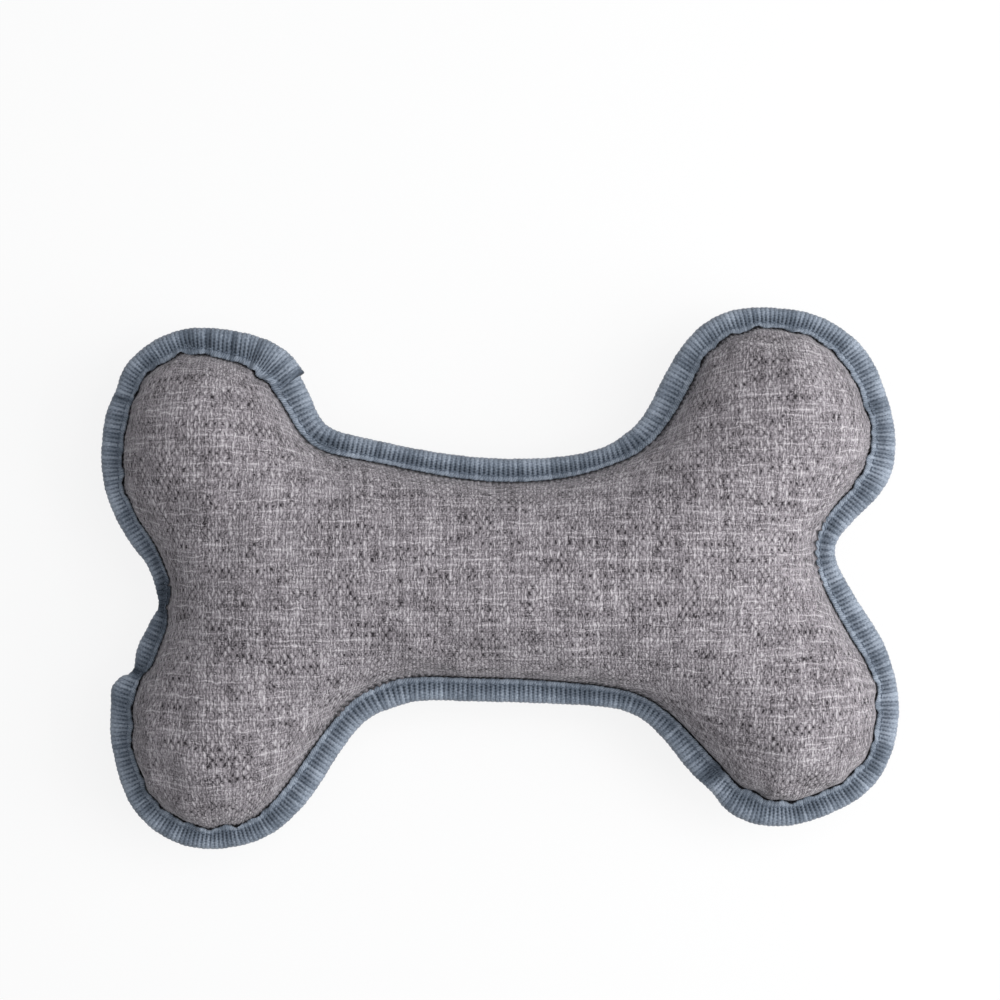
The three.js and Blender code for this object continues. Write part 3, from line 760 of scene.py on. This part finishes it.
def tape_piece():
    """The folded tape: a closed section carried along the edge, once round from its cut end and under it.

    Runs go down the rows. Across each row the section goes from the front lip over the fold to the back lip
    and back along the lining. Ribs are |sin| humps along the run, laid along the section's outward normal.
    """
    total = edge.length + LAP
    ribs = round(total / RIB_PITCH)
    station = np.linspace(0, total, ribs * RIB_STEPS + 1)[:, None]
    profile = np.array(TAPE_PROFILE)
    lining = np.array(TAPE_LINING)
    front = profile[::-1]
    back = profile[1:]
    share = np.concatenate([front[:, 0], back[:, 0], lining[:, 0], lining[::-1, 0]])
    height = np.concatenate([front[:, 1], -back[:, 1], -lining[:, 1], lining[::-1, 1]]) * mm
    depth = np.concatenate([front[:, 2], back[:, 2]])
    tone = np.concatenate([front[:, 3], back[:, 3], np.zeros(2 * len(lining))])
    shown = len(depth)
    facing = np.sign(height)
    above = np.abs(height) > TAPE_FLOOR
    lip = np.clip((share - LIP_FROM) / (1 - LIP_FROM), 0, 1)
    lift = lap_lift(station)
    # the lap's cut end dips and, through tuck, takes painted shade
    tip = TIP_DIP * np.exp(-((station / LAP_TIP) ** 2)) * np.interp(share, *zip(*TIP_ACROSS))
    tuck = tuck_depth(station) * np.interp(share, *zip(*TUCK_ACROSS)) + tip
    slant = SLANT_SHARES[1] - np.maximum(share, SLANT_SHARES[0])
    run = station + LAP_SLANT * slant * np.exp(-station / LAP)
    rib = np.abs(np.sin(math.pi * station * ribs / total)) ** RIB_ROUND
    wave = np.where(facing >= 0, ruffle(run, 11), ruffle(run, 23))
    wave_in = np.where(facing >= 0, ruffle(run, 31), ruffle(run, 43))
    flare = LAP_FLARE * (1 - share) * np.exp(-((run / FLARE_REACH) ** 2))
    wobble = WOBBLE * np.clip(1 - 2 * share, 0, 1) * wander(run, WOBBLE_LENGTHS, 51)
    scallop = SCALLOP * lip * (wander(run, SCALLOP_LENGTHS, 63) + rib - RIB_MEAN)
    inset = share * tape_width(run) - edge.at(edge.out, run) - lift * (1 - share)
    inset = inset + RUFFLE_REACH * lip * wave_in - flare - wobble + scallop
    ruffled = RUFFLE_RISE * lip**1.5 * (wave + 0.4 * np.abs(wave))
    ruffled = ruffled + 0.5 * WOBBLE * wander(run, WOBBLE_LENGTHS, 57)
    sunk = np.minimum(tuck, np.abs(height) - TAPE_FLOOR) * above
    rise = height + facing * (lift + ruffled * above - sunk)
    along_inset = np.gradient(inset[:, :shown], axis=1)
    along_rise = np.gradient(rise[:, :shown], axis=1)
    size = np.hypot(along_inset, along_rise)
    relief = RIB_HEIGHT * depth * (rib - RIB_MEAN)
    inset[:, :shown] += relief * along_rise / size
    rise[:, :shown] -= relief * along_inset / size
    flat = edge.inwards(run, inset)
    points = np.concatenate([flat, (SEAM_Z + rise)[..., None]], -1)
    rows, columns = inset.shape
    caps = np.arange(columns)[None, :]
    faces = [grid_faces(rows, columns, closed_columns=True), caps[:, ::-1], caps + (rows - 1) * columns]
    tape = new_piece("binding_tape_ribbed", points.reshape(-1, 3), faces, TAPE_FINISH)
    steps_in = np.diff(share, prepend=share[0]) * TAPE_SHOWN
    steps_up = np.diff(height, prepend=height[0])
    across = np.cumsum(np.hypot(steps_in, steps_up))
    places = np.stack(np.broadcast_arrays(station * ribs * RIB_PITCH / total, across), -1)
    set_map(tape.data, "tape", places.reshape(-1, 2))
    # painted light at the bone's two ends: the gaps' painted shade lessens where the tape faces along X
    end_facing = edge.at(edge.normal[:, 0] ** 2, station)
    gaps = (1 - GROOVE_SHADE) * (1 - ENDS_LIT * end_facing) * (1 - rib)
    # rib holds the painted shade of the groove and of the gaps between the ribs; tuck holds the dips
    held = {
        "rib": 1 - tone * (GROOVE_SHADE * (1 - end_facing) + gaps),
        "tuck": tuck / mm,
        "lip": np.clip(lip * 4, 0, 1),
        # fold carries the painted highlight towards the tape's outer fold
        "fold": np.clip(1 - share / 0.6, 0, 1),
    }
    for name, values in held.items():
        set_attribute(tape.data, name, np.broadcast_to(values, inset.shape).ravel())
    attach(tape, "root")
    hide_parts("binding_tape")
    return tape


def stitches(name, node, facing):
    """A row of stitches in the groove of the tape: each is an arch of rings, its ends in the tape."""
    count = round(edge.length / STITCH_LENGTH)
    pitch = edge.length / count
    start = np.arange(count)[:, None, None] * pitch
    share = np.linspace(0, 1, STITCH_RINGS)[None, :, None]
    angle = TURN * np.arange(STITCH_SIDES)[None, None, :] / STITCH_SIDES
    run = start + STITCH_GAP / 2 + share * (pitch - STITCH_GAP)
    profile = np.array(TAPE_PROFILE)
    groove = np.interp(STITCH_SHARE, profile[:, 0], profile[:, 1]) * mm
    arch = np.sin(math.pi * share) ** 0.5
    climb = LAP_LIFT * np.clip((run - edge.length + LAP_CLIMB) / LAP_CLIMB, 0, 1)
    thick = STITCH_RADIUS * (0.55 + 0.45 * arch)
    inset = STITCH_SHARE * tape_width(run) - edge.at(edge.out, run) + thick * np.cos(angle)
    rise = groove + np.maximum(lap_lift(run), climb)
    rise = rise + STITCH_RADIUS * (1.5 * arch - 1.2) + thick * np.sin(angle)
    flat = edge.inwards(np.broadcast_to(run, inset.shape), inset)
    points = np.concatenate([flat, (SEAM_Z + facing * rise)[..., None]], -1)
    one = grid_faces(STITCH_RINGS, STITCH_SIDES, closed_columns=True)
    ring = np.arange(STITCH_SIDES)
    caps = np.array([ring[::-1], ring + (STITCH_RINGS - 1) * STITCH_SIDES])
    offsets = (np.arange(count) * STITCH_RINGS * STITCH_SIDES)[:, None, None]
    faces = [(one + offsets).reshape(-1, 4), (caps + offsets).reshape(-1, STITCH_SIDES)]
    faces = [some[:, ::-1] for some in faces] if facing == FRONT else faces
    thread = new_piece(name, points.reshape(-1, 3), faces, THREAD_FINISH)
    places = np.stack(np.broadcast_arrays(run, angle / TURN), -1)
    set_map(thread.data, "thread", places.reshape(-1, 2))
    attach(thread, "root")
    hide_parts(node)
    return thread


# Covers

def seam_curve():
    """The closed line where the covers leave the tape."""
    return edge.inwards(edge.run, edge.inner + SEAM_GAP)


def beside_seam(places, curve):
    """Depth of each place inside a closed curve, negative outside it, and the way out at its nearest point.

    The sign is that of the side of the nearest of the curve's points.
    """
    thin = curve[::SEAM_THINNED]
    normals = edge.normal[::SEAM_THINNED]
    depth = np.empty(len(places))
    outwards = np.empty((len(places), 2))
    for start in range(0, len(places), PLACES_AT_ONCE):
        batch = slice(start, start + PLACES_AT_ONCE)
        some = places[batch]
        apart = ((some[:, None, :] - thin[None, :, :]) ** 2).sum(-1)
        nearest = apart.argmin(1)
        side = ((thin[nearest] - some) * normals[nearest]).sum(1)
        depth[batch] = np.sqrt(apart.min(1)) * np.sign(side)
        outwards[batch] = normals[nearest]
    return depth, outwards


def gathered(steps_x, steps_y, shape):
    """Each cell's sum of the steps into it less those out of it, along both ways of a grid."""
    total = np.zeros(shape)
    total[1:] += steps_x
    total[:-1] -= steps_x
    total[:, 1:] += steps_y
    total[:, :-1] -= steps_y
    return total


def around(field, joined):
    """Each value's sum of differences from its four neighbours, over the pairs that are both joined."""
    steps_x = (field[1:] - field[:-1]) * joined[1:] * joined[:-1]
    steps_y = (field[:, 1:] - field[:, :-1]) * joined[:, 1:] * joined[:, :-1]
    return gathered(steps_x, steps_y, field.shape)


def relax(system, load):
    """The field that a symmetric system turns into the load, by conjugate gradients."""
    field = np.zeros(load.shape)
    rest = load.astype(float)
    way = rest
    size = (rest * rest).sum()
    enough = 1e-10 * size
    while size > enough:
        answer = system(way)
        step = size / (way * answer).sum()
        field = field + step * way
        rest = rest - step * answer
        smaller = (rest * rest).sum()
        way = rest + smaller / size * way
        size = smaller
    return field


class Swell:
    """The stuffed height over the plan, and the flat cloth that it takes, on a grid.

    A sheet under pressure solves a Poisson equation with no height at the seam. The stuffed height is the
    square root of that, so a long shaft gets a round section. Near the seam the solution is kept as its
    ratio to the depth inside the seam, which is smooth there. The weave's map is the flat map whose slopes
    are nearest, in the mean square, to those of the cloth's unturned stretch over the height.
    """

    def __init__(self, crown):
        self.curve = seam_curve()
        self.low = self.curve.min(0) - FIELD_BORDER
        size = self.curve.max(0) + FIELD_BORDER - self.low
        self.shape = tuple(np.ceil(size / FIELD_STEP).astype(int) + 1)
        x = self.low[0] + FIELD_STEP * np.arange(self.shape[0])[:, None]
        y = self.low[1] + FIELD_STEP * np.arange(self.shape[1])[None, :]
        places = np.stack(np.broadcast_arrays(x, y), -1).reshape(-1, 2)
        depth = beside_seam(places, self.curve)[0].reshape(self.shape)
        push = np.ones(self.shape)
        for at_x, at_y, reach_x, reach_y, harder in PUSHES:
            away = ((x - at_x * mm) / (reach_x * mm)) ** 2 + ((y - at_y * mm) / (reach_y * mm)) ** 2
            push += harder * np.exp(-0.5 * away)
        inside = depth > 0
        pressed = relax(lambda f: around(f, np.ones(self.shape)) * inside, push * inside)
        known = depth > KNOWN_DEPTH
        self.ratio = self.fill(np.where(known, pressed / np.where(known, depth, 1.0), 0.0), known)
        bare = np.sqrt(self.ratio * np.maximum(depth, 0))
        self.gain = crown / bare.max()
        self.field = bare * self.gain
        self.cloth_x, self.cloth_y = self.flat_cloth(self.field, depth > -SEWN_REACH)

    def flat_cloth(self, height, sewn):
        """The two coordinates of the flat cloth, fitted to the stretch and zero at the bone's middle."""
        slope_x, slope_y = np.gradient(height, FIELD_STEP)
        share = 1 / (1 + np.sqrt(1 + slope_x**2 + slope_y**2))
        shear = slope_x * slope_y * share
        stretch = ((1 + slope_x**2 * share, shear), (shear, 1 + slope_y**2 * share))
        middle = tuple(np.round(-self.low / FIELD_STEP).astype(int))
        maps = []
        for along_x, along_y in stretch:
            steps_x = FIELD_STEP * (along_x[1:] + along_x[:-1]) / 2 * sewn[1:] * sewn[:-1]
            steps_y = FIELD_STEP * (along_y[:, 1:] + along_y[:, :-1]) / 2 * sewn[:, 1:] * sewn[:, :-1]
            fitted = relax(lambda f: around(f, sewn), gathered(steps_x, steps_y, self.shape))
            maps.append(self.fill(fitted - fitted[middle], sewn))
        return maps

    def fill(self, values, known):
        """Values carried outwards from where they are known, each ring the mean of its known neighbours."""
        for _ in range(FIELD_RINGS):
            total = np.zeros(self.shape)
            count = np.zeros(self.shape)
            for shift, axis in ((1, 0), (-1, 0), (1, 1), (-1, 1)):
                total += np.roll(values * known, shift, axis)
                count += np.roll(known, shift, axis)
            grown = ~known & (count > 0)
            values = np.where(grown, total / np.maximum(count, 1), values)
            known = known | grown
        return values

    def read(self, field, places):
        """A field of the grid at any places, by bilinear interpolation."""
        at = (places - self.low) / FIELD_STEP
        cell = np.clip(at.astype(int), 0, np.array(self.shape) - 2)
        i, j = cell.T
        a, b = (at - cell).T
        near = field[i, j] * (1 - a) + field[i + 1, j] * a
        far = field[i, j + 1] * (1 - a) + field[i + 1, j + 1] * a
        return near * (1 - b) + far * b

    def height(self, places):
        """The stuffed height at any places."""
        depth = np.maximum(beside_seam(places, self.curve)[0], 0)
        return self.gain * np.sqrt(self.read(self.ratio, places) * depth)

    def cloth(self, places):
        """The places on the flat cloth that lie over places of the plan.

        Within the rim's reach of the seam the height is a parabola on its side. There the place is that of
        the rim's inner border, moved outwards by the length of the parabola in between.
        """
        depth, outwards = beside_seam(places, self.curve)
        short = np.maximum(RIM_REACH - depth, 0)
        inner = places - outwards * short[:, None]
        flat = np.stack([self.read(self.cloth_x, inner), self.read(self.cloth_y, inner)], -1)
        steep = self.gain**2 * self.read(self.ratio, inner)
        whole = parabola_length(RIM_REACH, steep)
        length = whole - parabola_length(np.clip(depth, 0, RIM_REACH), steep) + np.maximum(-depth, 0)
        return flat + outwards * np.where(short > 0, length, 0)[:, None]


def parabola_length(depth, steep):
    """The length of the parabola height squared = steep times depth, from its tip."""
    height = np.sqrt(steep * depth)
    slope = 2 * height / steep
    return height / 2 * np.sqrt(1 + slope**2) + steep / 4 * np.arcsinh(slope)


def cover_plan():
    """Points of a cover seen from above and its triangles: rings along the seam, then an even lattice.

    The first rings lie under the tape. From the seam inwards ring k lies where the cloth has risen k steps.
    """
    risen = (RIM_STEP * np.arange(1, RIM_RINGS + 1)) ** 2 / RIM_ROUND
    offsets = np.concatenate([[*UNDER_TAPE, 0.0, 0.8 * SEAM_GAP], SEAM_GAP + risen])
    rings = []
    for k, offset in enumerate(offsets):
        line = edge.inwards(edge.run, edge.inner + offset)
        length = np.linalg.norm(np.roll(line, -1, 0) - line, axis=1).sum()
        count = round(length / RIM_SPACING)
        run = edge.length * (np.arange(count) + 0.5 * (k % 2)) / count
        rings.append(edge.inwards(run, edge.at(edge.inner, run) + offset))
    low = edge.point.min(0)
    high = edge.point.max(0)
    row_gap = COVER_SPACING * math.sqrt(3) / 2
    y = np.arange(low[1], high[1], row_gap)
    x = np.arange(low[0], high[0], COVER_SPACING)
    odd = (np.arange(len(y)) % 2)[:, None]
    lattice = np.stack(np.broadcast_arrays(x + COVER_SPACING / 2 * odd, y[:, None]), -1).reshape(-1, 2)
    deep = beside_seam(lattice, seam_curve())[0] > offsets[-1] - SEAM_GAP + 0.8 * COVER_SPACING
    places = np.concatenate([*rings, lattice[deep]])
    border = list(range(len(rings[0])))
    made = delaunay_2d_cdt([Vector(place) for place in places], [], [border], 1, 1e-7)
    return np.array([tuple(place) for place in made[0]]), np.array(made[2])


def stuffed(cover, free):
    """Blows the cover out by a cloth simulation with its sewn rim held, each point kept near its start.

    Free is each point's share of its move, none at the seam, so that the tape's lip stays in sight.
    """
    mesh = cover.data
    start = points_of(mesh)
    group = cover.vertex_groups.new(name="sewn")
    group.add(np.flatnonzero(free == 0).tolist(), 1.0, "REPLACE")
    cloth = cover.modifiers.new("stuffing", "CLOTH")
    settings = cloth.settings
    settings.quality = 6
    settings.mass = 0.3
    settings.tension_stiffness = 25
    settings.compression_stiffness = 25
    settings.shear_stiffness = 8
    settings.bending_stiffness = 0.6
    settings.vertex_group_mass = "sewn"
    settings.use_pressure = True
    settings.uniform_pressure_force = 4.0
    settings.effector_weights.gravity = 0.0
    cloth.collision_settings.use_collision = False
    scene = bpy.context.scene
    for number in range(1, STUFFED_FRAMES + 1):
        scene.frame_set(number)
    shaped = cover.evaluated_get(bpy.context.evaluated_depsgraph_get()).data
    moved = points_of(shaped) - start
    far = np.linalg.norm(moved, axis=1)
    kept = free * STUFFED_CAP * np.tanh(far / STUFFED_CAP) / np.maximum(far, 1e-9)
    cover.modifiers.remove(cloth)
    cover.vertex_groups.remove(group)
    scene.frame_set(1)
    mesh.vertices.foreach_set("co", (start + moved * kept[:, None]).ravel())
    mesh.update()


def cover_piece(name, node, facing, plan, triangles, crown):
    """A cover: the stuffed height over its plan, blown out by simulation, with slight lumps of stuffing."""
    rise = swell.height(plan) * crown / CROWN
    height = ALLOWANCE_TOP + rise * (1 - ALLOWANCE_TOP / crown)
    points = np.column_stack([plan, SEAM_Z + facing * height])
    faces = triangles if facing == FRONT else triangles[:, ::-1]
    cover = new_piece(name, points, [faces], CLOTH_FINISH)
    mesh = cover.data
    along = swell.cloth(plan)
    set_map(mesh, "weave", along * [1, facing])
    # painted shade by the seam, standing in for the shade under the tape's lip
    set_attribute(mesh, "seam", np.clip(1 - rise / SEAM_SHADE, 0, 1))
    stuffed(cover, np.clip((rise - STUFFED_FROM) / STUFFED_OVER, 0, 1))
    lumps = wander(along[:, 0] + 0.4 * along[:, 1], LUMP_LENGTHS[0], 3 + facing)
    lumps = lumps * wander(along[:, 1] - 0.3 * along[:, 0], LUMP_LENGTHS[1], 7 + facing)
    free = np.clip(rise / LUMP_RISE, 0, 1)
    points = points_of(mesh) + normals_of(mesh) * (LUMP * free * lumps)[:, None]
    if facing == BACK:
        points[:, 2] = np.maximum(points[:, 2], 0.0)
    mesh.vertices.foreach_set("co", points.ravel())
    mesh.update()
    finer = cover.modifiers.new("finer", "SUBSURF")
    finer.levels = finer.render_levels = 1
    thick = cover.modifiers.new("thickness", "SOLIDIFY")
    thick.thickness = CLOTH
    thick.offset = -1.0
    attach(cover, "root")
    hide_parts(node)
    return cover


# Stuffing

WAD_VOXEL = 3.0 * mm
WAD_SHRINK = 0.5 * mm
WAD_LUMP = 0.9 * mm
WAD_ROOM = 2.0 * mm
TUFT_SLANTS = ((1, 0.4, 0.2), (-0.3, 1, 0.5), (0.2, -0.5, 1))
TUFT_LENGTHS = (9 * mm, 14 * mm, 5.5 * mm)
WADS = (
    "fill_knob_upper_left",
    "fill_knob_lower_left",
    "fill_knob_lower_right",
    "fill_knob_upper_right",
    "fill_middle_front",
    "fill_middle_back",
)


def wad_piece(node, seed):
    """A wad of fibre: the node's form in even voxels, drawn in along its normals by a tufted wander."""
    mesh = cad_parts[node].data.copy()
    work = bmesh.new()
    work.from_mesh(mesh)
    bmesh.ops.remove_doubles(work, verts=work.verts, dist=1e-6)
    work.to_mesh(mesh)
    work.free()
    rough = bpy.data.objects.new(node + "_rough", mesh)
    bpy.context.scene.collection.objects.link(rough)
    voxels = rough.modifiers.new("voxels", "REMESH")
    voxels.mode = "VOXEL"
    voxels.voxel_size = WAD_VOXEL
    smooth = rough.modifiers.new("smooth", "SMOOTH")
    smooth.factor = 0.5
    smooth.iterations = 4
    finer = rough.modifiers.new("finer", "SUBSURF")
    finer.levels = finer.render_levels = 1
    shaped = bpy.data.meshes.new_from_object(rough.evaluated_get(bpy.context.evaluated_depsgraph_get()))
    bpy.data.objects.remove(rough)
    points = points_of(shaped)
    tufts = np.ones(len(points))
    for k, slant in enumerate(TUFT_SLANTS):
        tufts = tufts * wander(points @ np.array(slant), TUFT_LENGTHS, seed + k)
    points -= normals_of(shaped) * (WAD_SHRINK + WAD_LUMP * np.clip(0.5 + tufts, 0, 1))[:, None]
    room = np.maximum(swell.read(swell.field, points[:, :2]) - WAD_ROOM, 0)
    points[:, 2] = np.clip(points[:, 2], SEAM_Z - room, SEAM_Z + room)
    shaped.vertices.foreach_set("co", points.ravel())
    shaped.shade_smooth()
    shaped.materials.clear()
    shaped.materials.append(FIBRE_FINISH)
    wad = bpy.data.objects.new(node + "_fibre", shaped)
    bpy.context.scene.collection.objects.link(wad)
    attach(wad, "root")
    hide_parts(node)
    return wad


# Squeaker

BULB_STEPS = 96
BULB_RINGS = (60, 50)  # outside, inside
BULB_WALL = 1.2 * mm
PARTING_RIDGE = 0.18 * mm
PARTING_WIDTH = 0.5 * mm
NECK_INSET = 2.2 * mm  # the flange's lip, less the barrel's clearance in the bulb


def turned_piece(name, profile, axis, material):
    """A closed profile of [radius, height] turned about an upright axis; points on the axis are merged."""
    angle = TURN * np.arange(BULB_STEPS)[:, None] / BULB_STEPS
    x = axis[0] + profile[None, :, 0] * np.cos(angle)
    y = axis[1] + profile[None, :, 0] * np.sin(angle)
    z = axis[2] + np.broadcast_to(profile[None, :, 1], x.shape)
    closed = not np.allclose(profile[[0, -1], 0], 0)
    faces = grid_faces(BULB_STEPS, len(profile), closed_rows=True, closed_columns=closed)
    piece = new_piece(name, np.stack([x, y, z], -1).reshape(-1, 3), [faces], material)
    work = bmesh.new()
    work.from_mesh(piece.data)
    bmesh.ops.remove_doubles(work, verts=work.verts, dist=1e-6)
    bmesh.ops.recalc_face_normals(work, faces=work.faces)
    work.to_mesh(piece.data)
    work.free()
    piece.data.shade_smooth()
    return piece


def bulb_piece():
    """The squeaker's hollow ball with its moulded parting ridge, flattened where the whistle plugs in."""
    low, high = (np.array(corner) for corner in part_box("squeaker_bulb"))
    tube_low, tube_high = (np.array(corner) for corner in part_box("whistle_tube"))
    radius = (high[1] - low[1]) / 2
    centre = np.array([(low[0] + high[0]) / 2, (low[1] + high[1]) / 2, high[2] - radius])
    neck = low[2] - centre[2]
    flange = math.sqrt(radius**2 - neck**2)
    last = math.pi - math.asin(flange / radius)
    angle = np.linspace(0, last, BULB_RINGS[0])
    outer = radius * np.stack([np.sin(angle), np.cos(angle)], -1)
    outer[:, 0] += PARTING_RIDGE * np.exp(-((outer[:, 1] / PARTING_WIDTH) ** 2))
    hole = (tube_high[0] - tube_low[0]) / 2 - NECK_INSET
    inside = radius - BULB_WALL
    angle = np.linspace(last, 0, BULB_RINGS[1])
    inner = inside * np.stack([np.sin(angle), np.cos(angle)], -1)
    profile = np.concatenate([outer, [[hole, neck], [hole, neck + BULB_WALL]], inner])
    bulb = turned_piece("squeaker_bulb_moulded", profile, centre, BULB_FINISH)
    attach(bulb, "root")
    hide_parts("squeaker_bulb")
    return bulb


def finish_node(node, material):
    """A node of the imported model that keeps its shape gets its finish."""
    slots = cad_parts[node].data.materials
    slots.clear()
    slots.append(material)


# Studio

def studio():
    """A pale floor, soft light from the right and above, and a camera straight over the bone."""
    scene = bpy.context.scene
    scene.view_settings.view_transform = "Standard"
    floor_finish = Finish("pale_floor")
    path = floor_finish.tree.nodes.new("ShaderNodeLightPath")
    seen = floor_finish.math("MAXIMUM", path.outputs["Is Camera Ray"], path.outputs["Is Glossy Ray"])
    seen = floor_finish.math("MAXIMUM", seen, path.outputs["Is Transmission Ray"])
    matt = floor_finish.add("ShaderNodeBsdfDiffuse", {"Color": (0.92, 0.92, 0.92, 1)})
    glow = floor_finish.add("ShaderNodeEmission", {"Color": (1, 1, 1, 1), "Strength": 1.0})
    share = floor_finish.times(seen, FLOOR_GLOW)
    pale = floor_finish.done(floor_finish.add("ShaderNodeMixShader", {0: share, 1: matt, 2: glow}))
    corners = np.array([(-3, -3, 0), (3, -3, 0), (3, 3, 0), (-3, 3, 0)], float)
    floor = new_piece("floor", corners, [np.array([[0, 1, 2, 3]])], pale)

    world = bpy.data.worlds.new("soft_room")
    scene.world = world
    world.use_nodes = True
    nodes, links = world.node_tree.nodes, world.node_tree.links
    nodes.clear()
    path = nodes.new("ShaderNodeLightPath")
    ambient = nodes.new("ShaderNodeBackground")
    ambient.inputs["Strength"].default_value = ROOM_LIGHT
    ambient.inputs["Color"].default_value = ROOM_TINT
    white = nodes.new("ShaderNodeBackground")
    white.inputs["Strength"].default_value = ROOM_SEEN
    white.inputs["Color"].default_value = (1, 1, 1, 1)
    shown = nodes.new("ShaderNodeMath")
    shown.operation = "MAXIMUM"
    links.new(path.outputs["Is Camera Ray"], shown.inputs[0])
    links.new(path.outputs["Is Glossy Ray"], shown.inputs[1])
    mixed = nodes.new("ShaderNodeMixShader")
    links.new(shown.outputs[0], mixed.inputs[0])
    links.new(ambient.outputs[0], mixed.inputs[1])
    links.new(white.outputs[0], mixed.inputs[2])
    links.new(mixed.outputs[0], nodes.new("ShaderNodeOutputWorld").inputs["Surface"])

    target = Vector((0, 0, SEAM_Z))
    for name, (place, side, power) in LAMPS.items():
        light = bpy.data.lights.new(name, "AREA")
        light.shape = "SQUARE"
        light.size = side
        light.energy = power
        lamp = bpy.data.objects.new(name, light)
        lamp.location = place
        lamp.rotation_euler = (target - Vector(place)).to_track_quat("-Z", "Y").to_euler()
        scene.collection.objects.link(lamp)

    camera = bpy.data.cameras.new("camera")
    camera.lens = LENS
    camera.sensor_width = SENSOR
    away = PICTURE_SIDE * PIXEL * LENS / SENSOR
    eye = bpy.data.objects.new("camera", camera)
    eye.location = (
        (PICTURE_SIDE / 2 - MIDDLE_PIXEL[0]) * PIXEL,
        (MIDDLE_PIXEL[1] - PICTURE_SIDE / 2) * PIXEL,
        SEAM_Z + away,
    )
    camera.clip_start = 0.01
    scene.collection.objects.link(eye)
    scene.camera = eye


studio()
tape_piece()
stitches("needle_stitches", "needle_thread", FRONT)
stitches("bobbin_stitches", "bobbin_thread", BACK)

plan, triangles = cover_plan()
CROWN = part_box("front_panel")[1].z - SEAM_Z
swell = Swell(CROWN)
front_cover = cover_piece("front_cover_woven", "front_panel", FRONT, plan, triangles, CROWN)
cover_piece("back_cover_woven", "back_panel", BACK, plan, triangles, SEAM_Z + BACK_FLAT)

wads = {node: wad_piece(node, 100 + 10 * k) for k, node in enumerate(WADS)}
bulb = bulb_piece()
for node in ("whistle_tube", "reed_block", "reed_wedge"):
    finish_node(node, WHISTLE_FINISH)
finish_node("reed", REED_FINISH)

for piece in [front_cover, *(wads[node] for node in WADS if node != "fill_middle_back")]:
    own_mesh(piece)
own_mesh(bulb)
